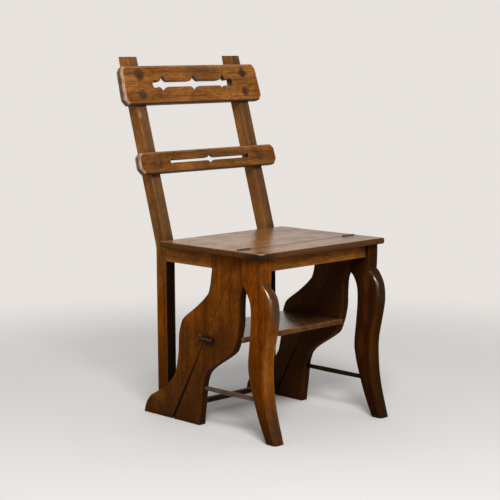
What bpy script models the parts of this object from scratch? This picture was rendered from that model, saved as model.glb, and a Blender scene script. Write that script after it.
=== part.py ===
"""Library step chair.

An oak side chair whose rear half turns forward over the seat, on two hinges, and becomes a short
flight of steps. Metres, +Z up, the front towards -Y. Inside this file Y is zero at the front faces
of the rear posts and heights are measured from the floor; one empty then moves the whole chair so
that its footprint is centred on the origin.
"""

import math

import bmesh
import bpy
from mathutils import Matrix, Vector

for old_object in list(bpy.data.objects):
    bpy.data.objects.remove(old_object, do_unlink=True)

# Driving dimensions
SEAT_HEIGHT = 0.431
SEAT_WIDTH = 0.418
SEAT_DEPTH = 0.3465
SEAT_THICKNESS = 0.0145
FRONT_BOARD_DEPTH = 0.0885
SEAT_OVERHANG = 0.0245
PANEL_THICKNESS = 0.019
POST_WIDTH = 0.0285
POST_DEPTH = 0.035
FRONT_LEG_WIDTH = 0.026
BACK_RUN = 0.131
HINGE_RISE = 0.0005

# Clearances
FIT = 0.0003
SPLIT_GAP = 0.0003
OVERRUN = 0.004

# Heights and places that follow from them
AXIS_Z = SEAT_HEIGHT + HINGE_RISE
CHAIR_HEIGHT = 2 * AXIS_Z
UNDERSIDE = SEAT_HEIGHT - SEAT_THICKNESS
AXIS_Y = FRONT_BOARD_DEPTH - SEAT_DEPTH
FRAME_WIDTH = SEAT_WIDTH - 2 * SEAT_OVERHANG
FACE_X = FRAME_WIDTH / 2
PANEL_INNER_X = FACE_X - PANEL_THICKNESS
POST_INNER_X = FACE_X - POST_WIDTH
LEG_FACE_X = PANEL_INNER_X + FRONT_LEG_WIDTH
SIDES = (("left", -1), ("right", 1))

# The side view of the cabriole front leg: shares of the height under the seat, and of its depth
LEG_FRONT_SHARES = (
    (0.000, 1.085), (0.140, 1.031), (0.250, 1.002), (0.360, 0.990), (0.460, 0.993), (0.570, 1.021),
    (0.660, 1.044), (0.720, 1.048), (0.780, 1.038), (0.835, 1.004), (0.868, 0.968))
LEG_REAR_SHARES = (
    (0.000, 1.001), (0.110, 0.938), (0.240, 0.880), (0.340, 0.846), (0.420, 0.834), (0.550, 0.850),
    (0.670, 0.862), (0.760, 0.853), (0.839, 0.804), (0.862, 0.786))

# The side view of the panels: the front edge of the front half and the rear edge of the rear half
PANEL_FRONT_SHARES = (
    (0.000, 0.320), (0.120, 0.342), (0.250, 0.366), (0.330, 0.424), (0.430, 0.612), (0.480, 0.673),
    (0.600, 0.721), (0.730, 0.730), (0.790, 0.738), (0.839, 0.768), (0.862, 0.784))
PANEL_REAR_SHARES = (
    (0.000, -0.250), (0.040, -0.226), (0.080, -0.202), (0.113, -0.170), (0.142, -0.110),
    (0.213, 0.014), (0.259, 0.064), (0.302, 0.090), (0.410, 0.115), (0.500, 0.122), (0.571, 0.146),
    (0.612, 0.183), (0.681, 0.303), (0.746, 0.398), (0.787, 0.433), (0.873, 0.456), (0.914, 0.462))
LANCET_TIP_SHARE = 0.785
CURVE_STEPS = 3
ROUNDING_SHARE = 0.4


def curve_through(points, steps):
    """Points along a smooth curve that passes through every given point in turn."""
    points = [Vector(p) for p in points]
    padded = [2 * points[0] - points[1]] + points + [2 * points[-1] - points[-2]]
    curve = []
    for i in range(1, len(padded) - 2):
        a, b, c, d = padded[i - 1:i + 3]
        for k in range(steps):
            t = k / steps
            curve.append((2 * b + (c - a) * t + (2 * a - 5 * b + 4 * c - d) * t ** 2
                          + (3 * b - a - 3 * c + d) * t ** 3) / 2)
    return curve + [points[-1]]


def side_curve(shares, steps=CURVE_STEPS):
    """A side-view curve as (y, z) points, upwards, from a table of height and depth shares."""
    return curve_through([(-SEAT_DEPTH * y, UNDERSIDE * z) for z, y in shares], steps)


def depth_at(curve, z):
    """The y of a rising side-view curve at a height."""
    for low, high in zip(curve, curve[1:]):
        if low.y <= z <= high.y:
            return low.x + (high.x - low.x) * (z - low.y) / (high.y - low.y)
    return curve[-1].x if z > curve[-1].y else curve[0].x


def grown(curve, distance):
    """A curve moved sideways, to the right of its direction."""
    moved = []
    for i, point in enumerate(curve):
        ahead = curve[min(i + 1, len(curve) - 1)] - curve[max(i - 1, 0)]
        moved.append(point + Vector((ahead.y, -ahead.x)).normalized() * distance)
    return moved


def rounded(outline, radius, steps=3, only=None):
    """An outline with its corners, or only those listed, turned into short curves."""
    result = []
    count = len(outline)
    for i, corner in enumerate(outline):
        corner = Vector(corner)
        if only is not None and i not in only:
            result.append(corner)
            continue
        to_last = Vector(outline[i - 1]) - corner
        to_next = Vector(outline[(i + 1) % count]) - corner
        reach = min(radius, ROUNDING_SHARE * to_last.length, ROUNDING_SHARE * to_next.length)
        start = corner + to_last.normalized() * reach
        end = corner + to_next.normalized() * reach
        for k in range(steps + 1):
            t = k / steps
            result.append(start * (1 - t) ** 2 + corner * 2 * t * (1 - t) + end * t ** 2)
    return result


# The empties: one places the chair, and one lies on the axis of each moving body

FOOT_REACH = LEG_FRONT_SHARES[0][1] * SEAT_DEPTH
LATCH_HEIGHT = 0.217
LATCH_PIVOT_SETBACK = 0.010
LATCH_STAND_OFF = 0.010

CUT_FOOT = 0.0205
CUT_GAP = 0.0005
CUT_SPREAD = 0.0065
CUT_TIGHT_SHARE = 0.62


def front_cut_y(z):
    """The slanting cut at the front half of the side panel, from the floor up to the hinges."""
    return -CUT_FOOT + (AXIS_Y + CUT_FOOT) * z / AXIS_Z


def rear_cut_y(z):
    """The same cut at the rear half: tight above, and gaping slowly towards the floor."""
    return front_cut_y(z) + CUT_GAP + CUT_SPREAD * max(0, 1 - z / (CUT_TIGHT_SHARE * AXIS_Z))


def empty(name, place, parent=None):
    """An empty at a place given in the chair's own coordinates."""
    marker = bpy.data.objects.new(name, None)
    bpy.context.collection.objects.link(marker)
    marker["place"] = tuple(place)
    marker.location = Vector(place) - Vector(parent["place"]) if parent else Vector(place)
    marker.parent = parent
    return marker


LATCH_PIVOT_X = -FACE_X - LATCH_STAND_OFF
LATCH_PIVOT_Y = rear_cut_y(LATCH_HEIGHT) + LATCH_PIVOT_SETBACK

chair = empty("chair_origin", (0, 0, 0))
chair.location.y = (FOOT_REACH - BACK_RUN - POST_DEPTH) / 2
fold = empty("fold_axis", (0, AXIS_Y, AXIS_Z), chair)
latch = empty("latch_axis", (LATCH_PIVOT_X, LATCH_PIVOT_Y, LATCH_HEIGHT), fold)


def material(name, colour, roughness, metallic=0.0):
    """A plain surface with a colour, a roughness and a metallic value."""
    surface = bpy.data.materials.new(name)
    surface.use_nodes = True
    shader = surface.node_tree.nodes["Principled BSDF"]
    shader.inputs["Base Color"].default_value = (*colour, 1)
    shader.inputs["Roughness"].default_value = roughness
    shader.inputs["Metallic"].default_value = metallic
    surface.diffuse_color = (*colour, 1)
    return surface


OAK_FRAME = ((0.20, 0.085, 0.022), 0.42)
OAK_SEAT = ((0.24, 0.125, 0.050), 0.30)
OAK_BACK = ((0.23, 0.105, 0.032), 0.40)
OAK_DARK = ((0.075, 0.033, 0.014), 0.45)
IRON = ((0.055, 0.050, 0.048), 0.38, 0.9)


def solid(name, mesh, body, look, smooth_angle=None, turn=0.0, place=(0, 0, 0)):
    """A named object from a finished bmesh, hung on the empty of its body."""
    bmesh.ops.recalc_face_normals(mesh, faces=mesh.faces)
    data = bpy.data.meshes.new(name)
    mesh.to_mesh(data)
    mesh.free()
    piece = bpy.data.objects.new(name, data)
    bpy.context.collection.objects.link(piece)
    piece.parent = body
    piece.location = Vector(place) - Vector(body["place"])
    piece.rotation_euler.x = turn
    if look is None:
        piece.hide_render = True
        piece.display_type = "WIRE"
    else:
        data.materials.append(material(name, *look))
    if smooth_angle is not None:
        data.shade_smooth()
        data.set_sharp_from_angle(angle=smooth_angle)
    return piece


def cut(target, cutter):
    """Take a cutter's shape out of a piece."""
    modifier = target.modifiers.new(cutter.name, "BOOLEAN")
    modifier.operation = "DIFFERENCE"
    modifier.object = cutter


def add_to(target, other):
    """Make another shape part of a piece."""
    modifier = target.modifiers.new(other.name, "BOOLEAN")
    modifier.operation = "UNION"
    modifier.object = other


def prism(outline, low, high, axis):
    """An outline drawn out along X, Y or Z, between two places on that axis."""
    mesh = bmesh.new()
    order = {"X": (2, 0, 1), "Y": (0, 2, 1), "Z": (0, 1, 2)}[axis]
    rings = []
    for end in (low, high):
        ring = []
        for u, v in outline:
            values = (u, v, end)
            ring.append(mesh.verts.new([values[k] for k in order]))
        rings.append(ring)
    count = len(outline)
    for i in range(count):
        j = (i + 1) % count
        mesh.faces.new((rings[0][i], rings[0][j], rings[1][j], rings[1][i]))
    mesh.faces.new(rings[0][::-1])
    mesh.faces.new(rings[1])
    return mesh


def block(x, y, z):
    """A box from three (low, high) pairs."""
    outline = [(y[0], z[0]), (y[1], z[0]), (y[1], z[1]), (y[0], z[1])]
    return prism(outline, min(x), max(x), "X")


def rod(start, end, radius, sides=16, end_radius=None):
    """A round bar between two points, or a cone where the end has its own radius."""
    start = Vector(start)
    along = Vector(end) - start
    mesh = bmesh.new()
    bmesh.ops.create_cone(
        mesh, cap_ends=True, segments=sides, radius1=radius,
        radius2=radius if end_radius is None else end_radius, depth=along.length)
    facing = along.to_track_quat("Z", "Y").to_matrix().to_4x4()
    bmesh.ops.transform(
        mesh, matrix=Matrix.Translation(start + along / 2) @ facing, verts=mesh.verts)
    return mesh


def tube(path, radius, flat_normal, sides=8, tip_share=1.0):
    """A wire bent along a path that lies in one plane, square to the given normal."""
    path = [Vector(p) for p in path]
    normal = Vector(flat_normal)
    mesh = bmesh.new()
    rings = []
    last = len(path) - 1
    for i, point in enumerate(path):
        ahead = (path[min(i + 1, last)] - path[max(i - 1, 0)]).normalized()
        across = ahead.cross(normal)
        size = radius * (tip_share if i == last else 1)
        ring = []
        for k in range(sides):
            angle = 2 * math.pi * k / sides
            ring.append(mesh.verts.new(
                point + across * size * math.cos(angle) + normal * size * math.sin(angle)))
        rings.append(ring)
    for a, b in zip(rings, rings[1:]):
        for k in range(sides):
            j = (k + 1) % sides
            mesh.faces.new((a[k], a[j], b[j], b[k]))
    mesh.faces.new(rings[0][::-1])
    mesh.faces.new(rings[-1])
    return mesh


def bevel(mesh, chosen, width, segments):
    """Round or chamfer the edges that a test picks."""
    edges = [edge for edge in mesh.edges if chosen(edge)]
    bmesh.ops.bevel(
        mesh, geom=edges, offset=width, segments=segments, profile=0.5, affect="EDGES")


# Side panels: one board each side, cut on the slant into a front and a rear half

PANEL_TOP = UNDERSIDE - FIT
LANCET_Y = -LANCET_TIP_SHARE * SEAT_DEPTH
PANEL_REAR_CURVE = side_curve(PANEL_REAR_SHARES)
PANEL_FRONT_CURVE = side_curve(PANEL_FRONT_SHARES)
RAIL_JOINT_Y = PANEL_REAR_CURVE[-1].x
CUT_TIGHT_Z = CUT_TIGHT_SHARE * AXIS_Z


def front_half_outline():
    """Up the shaped front edge, across under the seat and down the slanting cut."""
    outline = list(PANEL_FRONT_CURVE)
    outline[-1] = Vector((LANCET_Y + FIT / 2, outline[-1].y))
    outline.append(Vector((LANCET_Y + FIT / 2, PANEL_TOP)))
    outline.append(Vector((front_cut_y(PANEL_TOP), PANEL_TOP)))
    outline.append(Vector((front_cut_y(0), 0)))
    return outline


def rear_half_outline():
    """Up the shaped rear edge, across under the seat and down the slanting cut."""
    outline = list(PANEL_REAR_CURVE)
    outline.append(Vector((RAIL_JOINT_Y, PANEL_TOP)))
    for z in (PANEL_TOP, CUT_TIGHT_Z, 0):
        outline.append(Vector((rear_cut_y(z), z)))
    return outline


panels = {}
for side, sign in SIDES:
    span = sorted((sign * FACE_X, sign * PANEL_INNER_X))
    panels["front", side] = solid(
        "panel_front_" + side, prism(front_half_outline(), *span, "X"), chair, OAK_FRAME)
    panels["rear", side] = solid(
        "panel_rear_" + side, prism(rear_half_outline(), *span, "X"), fold, OAK_FRAME)


# Front legs: sawn to a cabriole shape, square above the knee and rounded in front below it.
# They are thicker than the panels, level with them inside and proud of them outside.

KNEE_TOP_SHARE = LEG_FRONT_SHARES[-1][0]
LEG_ROUND = 0.0075
LEG_ARRIS = 0.0012
LEG_LEVELS = 34
LEG_FRONT_CURVE = side_curve(LEG_FRONT_SHARES, 6)
LEG_REAR_CURVE = side_curve(LEG_REAR_SHARES, 6)
SHOULDER_SHARE = 0.012


def leg_section(z):
    """One level of a leg: (outward, y) points, with the outer face at zero and two front rounds."""
    front = depth_at(LEG_FRONT_CURVE, z)
    rear = depth_at(LEG_REAR_CURVE, z) if z < LEG_REAR_CURVE[-1].y else LANCET_Y - FIT / 2
    square = z >= KNEE_TOP_SHARE * UNDERSIDE
    radius = LEG_ARRIS if square else LEG_ROUND
    points = [(0, rear - LEG_ARRIS), (0, front + radius)]
    for k in range(1, 4):
        angle = math.pi / 2 * k / 4
        points.append((radius * (1 - math.cos(angle)), front + radius * (1 - math.sin(angle))))
    points.append((radius, front))
    points.append((FRONT_LEG_WIDTH - radius, front))
    for k in range(1, 4):
        angle = math.pi / 2 * k / 4
        points.append((FRONT_LEG_WIDTH - radius * (1 - math.sin(angle)),
                       front + radius * (1 - math.cos(angle))))
    points.append((FRONT_LEG_WIDTH, front + radius))
    points.append((FRONT_LEG_WIDTH, rear - LEG_ARRIS))
    points.append((FRONT_LEG_WIDTH - LEG_ARRIS, rear))
    points.append((LEG_ARRIS, rear))
    return points


def leg_mesh(sign):
    """The leg as a stack of sections joined into one skin."""
    knee = KNEE_TOP_SHARE * UNDERSIDE
    shoulder = SHOULDER_SHARE * UNDERSIDE
    levels = [(knee - shoulder) * i / LEG_LEVELS for i in range(LEG_LEVELS + 1)]
    levels += [knee, knee + shoulder / 2, PANEL_TOP]
    mesh = bmesh.new()
    rings = []
    for z in levels:
        ring = []
        for across, y in leg_section(z):
            ring.append(mesh.verts.new((sign * (LEG_FACE_X - across), y, z)))
        rings.append(ring)
    for low, high in zip(rings, rings[1:]):
        for k in range(len(low)):
            j = (k + 1) % len(low)
            mesh.faces.new((low[k], low[j], high[j], high[k]))
    mesh.faces.new(rings[0])
    mesh.faces.new(rings[-1])
    return mesh


legs = {}
for side, sign in SIDES:
    legs[side] = solid(
        "front_leg_" + side, leg_mesh(sign), chair, OAK_FRAME, smooth_angle=math.radians(40))


# Rear posts: leg and upright in one, bent under the seat, halved over the toe of the panel

BEND_EASE = 0.030
BACK_SLOPE = BACK_RUN / (CHAIR_HEIGHT - UNDERSIDE)
LEAN = math.atan(BACK_SLOPE)


def post_outline():
    """Side view of a post, with both bends eased."""
    corners = [
        (0, 0), (POST_DEPTH, 0), (POST_DEPTH, UNDERSIDE + POST_DEPTH * math.tan(LEAN / 2)),
        (BACK_RUN + POST_DEPTH, CHAIR_HEIGHT), (BACK_RUN, CHAIR_HEIGHT), (0, UNDERSIDE)]
    return rounded(corners, BEND_EASE, 4, only=(2, 5))


def toe_cutter_outline():
    """The part of the panel's rear edge that crosses the post, grown by the fit and closed below."""
    toe = [p for p in grown(PANEL_REAR_CURVE, FIT) if p.x > -OVERRUN - POST_DEPTH]
    toe[0] = Vector((toe[0].x, -OVERRUN))
    return toe + [Vector((toe[-1].x, -OVERRUN))]


posts = {}
for side, sign in SIDES:
    span = sorted((sign * FACE_X, sign * POST_INNER_X))
    posts[side] = solid("rear_post_" + side, prism(post_outline(), *span, "X"), fold, OAK_FRAME)
    span = sorted((sign * (FACE_X + OVERRUN), sign * (PANEL_INNER_X - FIT)))
    cut(posts[side], solid("toe_cut_" + side, prism(toe_cutter_outline(), *span, "X"), fold, None))


# Rails under the seat, tenoned into the legs and posts

RAIL_THICKNESS = 0.019
SIDE_RAIL_HEIGHT = 0.036
FRONT_RAIL_HEIGHT = 0.030
FRONT_RAIL_SETBACK = 0.010
REAR_RAIL_SETBACK = 0.006
TENON_LENGTH = 0.012
TENON_THICKNESS = 0.008
TENON_INSET = 0.006
LEG_FACE_Y = LEG_FRONT_CURVE[-1].x


def cross_rail(name, body, inner_x, front_y, height, receivers):
    """A rail across the chair with a tenon at each end, let into the two uprights beside it."""
    z = (PANEL_TOP - height, PANEL_TOP)
    half = inner_x - FIT
    rail = solid(name, block((-half, half), (front_y, front_y + RAIL_THICKNESS), z), body, OAK_FRAME)
    middle = front_y + RAIL_THICKNESS / 2
    tenon_y = (middle - TENON_THICKNESS / 2, middle + TENON_THICKNESS / 2)
    tenon_z = (z[0] + TENON_INSET, z[1] - TENON_INSET)
    reach = half + TENON_LENGTH
    add_to(rail, solid(name + "_tenon", block((-reach, reach), tenon_y, tenon_z), body, None))
    mortise_y = (tenon_y[0] - FIT, tenon_y[1] + FIT)
    mortise_z = (tenon_z[0] - FIT, tenon_z[1] + FIT)
    bottom = reach + FIT
    mortise = solid(name + "_mortise", block((-bottom, bottom), mortise_y, mortise_z), body, None)
    for receiver in receivers:
        cut(receiver, mortise)


cross_rail("front_rail", chair, PANEL_INNER_X, LEG_FACE_Y + FRONT_RAIL_SETBACK, FRONT_RAIL_HEIGHT,
           (legs["left"], legs["right"]))
cross_rail("rear_rail", fold, POST_INNER_X, REAR_RAIL_SETBACK, SIDE_RAIL_HEIGHT,
           (posts["left"], posts["right"]))

for side, sign in SIDES:
    rail_z = (PANEL_TOP - SIDE_RAIL_HEIGHT, PANEL_TOP)
    rail_y = (RAIL_JOINT_Y + FIT, -FIT)
    rail_x = (sign * FACE_X, sign * (FACE_X - RAIL_THICKNESS))
    side_rail = solid("side_rail_" + side, block(rail_x, rail_y, rail_z), fold, OAK_FRAME)
    tongue_x = sign * (FACE_X - RAIL_THICKNESS / 2)
    tongue_z = (rail_z[0] + TENON_INSET, rail_z[1] - TENON_INSET)
    tongue = block((tongue_x - TENON_THICKNESS / 2, tongue_x + TENON_THICKNESS / 2),
                   (rail_y[0] - TENON_LENGTH, rail_y[1] + TENON_LENGTH), tongue_z)
    add_to(side_rail, solid("side_rail_tenon_" + side, tongue, fold, None))
    slot = block((tongue_x - TENON_THICKNESS / 2 - FIT, tongue_x + TENON_THICKNESS / 2 + FIT),
                 (rail_y[0] - TENON_LENGTH - FIT, rail_y[1] + TENON_LENGTH + FIT),
                 (tongue_z[0] - FIT, tongue_z[1] + FIT))
    side_mortise = solid("side_rail_mortise_" + side, slot, fold, None)
    cut(posts[side], side_mortise)
    cut(panels["rear", side], side_mortise)


# Treads and the low rail: housed in the panels; the two treads meet on the slanting cut

TREAD_HEIGHT = 0.226
TREAD_THICKNESS = 0.013
TREAD_REACH = 0.245
TREAD_BACK = 0.058
HOUSING = 0.006
HOUSED_END_X = PANEL_INNER_X + HOUSING - FIT
LOW_RAIL_TOP = 0.033
LOW_RAIL_HEIGHT = 0.0125
LOW_RAIL_FRONT = 0.022
LOW_RAIL_DEPTH = 0.012
NOSING = 0.002

tread_z = (TREAD_HEIGHT - TREAD_THICKNESS, TREAD_HEIGHT)


def housing(name, target, side_sign, y, z, body):
    """A groove in the inner face of a panel, that takes the end of a tread or rail."""
    x = sorted((side_sign * (PANEL_INNER_X + HOUSING), side_sign * (PANEL_INNER_X - OVERRUN)))
    cut(target, solid(name, block(x, y, z), body, None))


front_tread_outline = [
    (-TREAD_REACH, tread_z[0]), (front_cut_y(tread_z[0]), tread_z[0]),
    (front_cut_y(tread_z[1]), tread_z[1]), (-TREAD_REACH, tread_z[1])]
solid("tread_front", prism(rounded(front_tread_outline, NOSING, 2, only=(0, 3)),
                           -HOUSED_END_X, HOUSED_END_X, "X"), chair, OAK_SEAT)

rear_tread_outline = [
    (rear_cut_y(tread_z[0]), tread_z[0]), (-TREAD_BACK, tread_z[0]),
    (-TREAD_BACK, tread_z[1]), (rear_cut_y(tread_z[1]), tread_z[1])]
solid("tread_rear", prism(rounded(rear_tread_outline, NOSING, 2, only=(1, 2)),
                          -HOUSED_END_X, HOUSED_END_X, "X"), fold, OAK_SEAT)

low_y = (-LOW_RAIL_FRONT, LOW_RAIL_DEPTH - LOW_RAIL_FRONT)
low_z = (LOW_RAIL_TOP - LOW_RAIL_HEIGHT, LOW_RAIL_TOP)
solid("low_rail", block((-HOUSED_END_X, HOUSED_END_X), low_y, low_z), fold, OAK_DARK)

for side, sign in SIDES:
    groove_z = (tread_z[0] - FIT, tread_z[1] + FIT)
    housing("front_housing_" + side, panels["front", side], sign,
            (-TREAD_REACH - FIT, front_cut_y(tread_z[0]) + OVERRUN), groove_z, chair)
    housing("rear_housing_" + side, panels["rear", side], sign,
            (rear_cut_y(tread_z[1]) - OVERRUN, FIT - TREAD_BACK), groove_z, fold)
    housing("low_housing_" + side, panels["rear", side], sign,
            (low_y[0] - FIT, low_y[1] + FIT), (low_z[0] - FIT, low_z[1] + FIT), fold)


# Stretchers: round bars from the panels' front edges to the front legs

STRETCHER_HEIGHT = 0.091
STRETCHER_RADIUS = 0.0056
SOCKET_DEPTH = 0.012
STRETCHER_INSET = 0.0105

for side, sign in SIDES:
    x = sign * (FACE_X - STRETCHER_INSET)
    rear_end = depth_at(PANEL_FRONT_CURVE, STRETCHER_HEIGHT) + SOCKET_DEPTH
    front_end = depth_at(LEG_REAR_CURVE, STRETCHER_HEIGHT) - SOCKET_DEPTH
    solid("stretcher_" + side, rod((x, front_end, STRETCHER_HEIGHT), (x, rear_end, STRETCHER_HEIGHT),
                                   STRETCHER_RADIUS), chair, OAK_DARK, math.radians(40))
    bore = solid("stretcher_bore_" + side, rod((x, front_end - FIT, STRETCHER_HEIGHT),
                                               (x, rear_end + FIT, STRETCHER_HEIGHT),
                                               STRETCHER_RADIUS + 2 * FIT), chair, None)
    cut(panels["front", side], bore)
    cut(legs[side], bore)


# Seat boards: a narrow fixed one in front and a deep one behind the split

SEAT_NOSING = 0.0045
CORNER_ROUND = 0.006
half_seat = SEAT_WIDTH / 2


def seat_board(name, y_front, y_rear, body, corners, square_y):
    """A board with rounded edges all round but for the edge that lies at square_y."""
    outline = [(-half_seat, y_front), (half_seat, y_front), (half_seat, y_rear), (-half_seat, y_rear)]
    mesh = prism(rounded(outline, CORNER_ROUND, 4, only=corners), UNDERSIDE, SEAT_HEIGHT, "Z")
    middle = (UNDERSIDE + SEAT_HEIGHT) / 2
    tolerance = FIT / 10

    def is_nosed(edge):
        """Edges that run round the top or the bottom, away from the square edge."""
        a, b = (vertex.co for vertex in edge.verts)
        level = abs(a.z - b.z) < tolerance
        square = abs(a.y - square_y) < tolerance and abs(b.y - square_y) < tolerance
        return level and abs(a.z - middle) > tolerance and not square

    bevel(mesh, is_nosed, SEAT_NOSING, 3)
    return solid(name, mesh, body, OAK_SEAT, math.radians(35))


front_board = seat_board("seat_board_front", -SEAT_DEPTH, AXIS_Y - SPLIT_GAP, chair,
                         (0, 1), AXIS_Y - SPLIT_GAP)
rear_board = seat_board("seat_board_rear", AXIS_Y + SPLIT_GAP, -FIT, fold,
                        (2, 3), AXIS_Y + SPLIT_GAP)


# Hinges: leaves let into the edges of the two boards, with the knuckles at the top of the split

HINGE_LENGTH = 0.038
HINGE_INSET = 0.034
BARREL_RADIUS = 0.0026
PIN_RADIUS = 0.0012
LEAF_THICKNESS = 0.0014
LEAF_MARGIN = 0.003
LEAF_RECESS = 0.0001
SCREW_RADIUS = 0.0011
SCREW_HEAD_RADIUS = 0.0022
SCREW_LENGTH = 0.009
SCREW_SPREAD_SHARE = 0.32

leaf_near = SPLIT_GAP + LEAF_RECESS
leaf_far = leaf_near + LEAF_THICKNESS
leaf_bottom = UNDERSIDE + LEAF_MARGIN
barrel_clear = BARREL_RADIUS + 2 * FIT
leaf_top = AXIS_Z - barrel_clear - FIT
knuckle = (HINGE_LENGTH - 2 * FIT) / 3
screw_z = (leaf_bottom + leaf_top) / 2


def hinge_leaf(name, body, x, toward, spans):
    """One leaf: a plate in the board's edge, with knuckles over the given spans of its length."""
    half = HINGE_LENGTH / 2
    y = sorted((AXIS_Y + toward * leaf_near, AXIS_Y + toward * leaf_far))
    leaf = solid(name, block((x - half, x + half), y, (leaf_bottom, leaf_top)), body, IRON,
                 math.radians(40))
    for k, (low, high) in enumerate(spans):
        start = (x + low, AXIS_Y, AXIS_Z)
        end = (x + high, AXIS_Y, AXIS_Z)
        tab = block((x + low, x + high), y, (leaf_top - FIT, AXIS_Z - PIN_RADIUS))
        add_to(leaf, solid(f"{name}_tab_{k}", tab, body, None))
        add_to(leaf, solid(f"{name}_knuckle_{k}", rod(start, end, BARREL_RADIUS), body, None))
    bore = rod((x - half - OVERRUN, AXIS_Y, AXIS_Z), (x + half + OVERRUN, AXIS_Y, AXIS_Z),
               PIN_RADIUS + 2 * FIT)
    cut(leaf, solid(name + "_bore", bore, body, None))
    return leaf


def hinge_seat(name, board, body, x, toward):
    """The recess in a board's edge for a leaf, and the deeper notch above it for the knuckles."""
    half = HINGE_LENGTH / 2 + FIT
    over = AXIS_Y - toward * OVERRUN
    plate = block((x - half, x + half), sorted((over, AXIS_Y + toward * (leaf_far + FIT))),
                  (leaf_bottom - FIT, SEAT_HEIGHT + OVERRUN))
    notch = block((x - half, x + half), sorted((over, AXIS_Y + toward * barrel_clear)),
                  (AXIS_Z - barrel_clear, SEAT_HEIGHT + OVERRUN))
    cut(board, solid(name + "_recess", plate, body, None))
    cut(board, solid(name + "_notch", notch, body, None))


def hinge_screw(name, leaf, board, body, x, toward):
    """A countersunk screw through the leaf into the board's edge, with its hole in both."""
    face = AXIS_Y + toward * leaf_near
    neck = AXIS_Y + toward * leaf_far
    tip = neck + toward * SCREW_LENGTH
    screw = solid(name, rod((x, neck - toward * FIT, screw_z), (x, tip, screw_z), SCREW_RADIUS, 12),
                  body, IRON, math.radians(40))
    head = rod((x, face, screw_z), (x, neck, screw_z), SCREW_HEAD_RADIUS, 12, SCREW_RADIUS)
    add_to(screw, solid(name + "_head", head, body, None))
    sink = rod((x, face - toward * FIT, screw_z), (x, neck + toward * FIT, screw_z),
               SCREW_HEAD_RADIUS + 2 * FIT, 12, SCREW_RADIUS + 2 * FIT)
    cut(leaf, solid(name + "_sink", sink, body, None))
    pilot = rod((x, face, screw_z), (x, tip + toward * FIT, screw_z), SCREW_RADIUS + 2 * FIT, 12)
    cut(board, solid(name + "_pilot", pilot, body, None))


end_spans = ((-HINGE_LENGTH / 2, -HINGE_LENGTH / 2 + knuckle),
             (HINGE_LENGTH / 2 - knuckle, HINGE_LENGTH / 2))
middle_span = ((-knuckle / 2, knuckle / 2),)

for side, sign in SIDES:
    hinge_x = sign * (half_seat - HINGE_INSET)
    for part, board, body, toward, spans in (
            ("front", front_board, chair, -1, end_spans), ("rear", rear_board, fold, 1, middle_span)):
        name = f"hinge_leaf_{part}_{side}"
        leaf = hinge_leaf(name, body, hinge_x, toward, spans)
        hinge_seat(name, board, body, hinge_x, toward)
        for place, step in (("outer", sign), ("inner", -sign)):
            screw_x = hinge_x + step * SCREW_SPREAD_SHARE * HINGE_LENGTH
            hinge_screw(f"hinge_screw_{part}_{side}_{place}", leaf, board, body, screw_x, toward)
    pin = rod((hinge_x - HINGE_LENGTH / 2, AXIS_Y, AXIS_Z), (hinge_x + HINGE_LENGTH / 2, AXIS_Y, AXIS_Z),
              PIN_RADIUS, 12)
    solid("hinge_pin_" + side, pin, chair, IRON, math.radians(40))


# Back rails: two pierced boards, screwed and plugged. The crest is let into the uprights, and the
# lower one lies on their front faces.

CREST_LENGTH = 0.450
CREST_HEIGHT = 0.0955
CREST_CENTRE = 0.390
BACK_RAIL_LENGTH = 0.453
CREST_THICKNESS = 0.019
CREST_LET_IN = 0.007
BACK_RAIL_HEIGHT = 0.0525
BACK_RAIL_CENTRE = 0.199
BACK_RAIL_THICKNESS = 0.017
CREST_CHAMFER = 0.0040
BACK_RAIL_CHAMFER = 0.0030
BOARD_CORNER_ROUND = 0.010
PLUG_DIAGONAL = 0.026
PLUG_DEPTH = 0.005
PLUG_RISE = 0.0008
CREST_PLUG_SPACING = 0.048

# Corners of the right half, as shares of the half length and half height, from the top down
CREST_END_SHARES = ((0.945, 1.0), (0.985, 0.76), (1.0, -0.72), (0.955, -1.0))
BACK_RAIL_END_SHARES = ((0.950, 1.0), (0.996, 0.62), (1.0, -0.48), (0.952, -1.0))

CREST_SLOT_HALF = 0.134
CREST_SLOT_RISE = 0.0078
CREST_LOBE_RADIUS = 0.0094
CREST_CUSP_RISE = 0.0195
CREST_CUSP_REACH = 0.018
CREST_CUSP_SHARES = (-0.75, 0.0, 0.75)
BACK_SLOT_HALF = 0.130
BACK_SLOT_RISE = 0.0038
BACK_LOBE_RADIUS = 0.0058
BACK_CUSP_RISE = 0.0112
BACK_CUSP_REACH = 0.014
CUSP_POWER = 1.7
CUSP_STEPS = 4


def back_place(distance):
    """A point on the front faces of the uprights, at a distance up the slope from the bend."""
    return (0, distance * math.sin(LEAN), UNDERSIDE + distance * math.cos(LEAN))


def end_outline(half_length, half_height, shares):
    """A board's outline, mirrored from the corners of its right end."""
    right = [(x * half_length, z * half_height) for x, z in shares]
    left = [(-x, z) for x, z in reversed(right)]
    return rounded(right + left, BOARD_CORNER_ROUND, 2)


def slot_outline(half, rise, lobe, cusp_rise, cusp_reach, cusp_places):
    """A long slot with a round lobe at each end and pointed cusps above and below."""
    top = []
    lobe_x = half - lobe
    neck = math.asin(rise / lobe)
    for k in range(5):
        angle = math.pi - (math.pi - neck) * k / 4
        top.append((-lobe_x + lobe * math.cos(angle), lobe * math.sin(angle)))
    for place in cusp_places:
        for k in range(-CUSP_STEPS, CUSP_STEPS + 1):
            share = 1 - abs(k) / CUSP_STEPS
            height = rise + (cusp_rise - rise) * share ** CUSP_POWER
            top.append((place + cusp_reach * k / CUSP_STEPS, height))
    top += [(-x, z) for x, z in reversed(top[:5])]
    return top + [(x, -z) for x, z in reversed(top[1:-1])]


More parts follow.
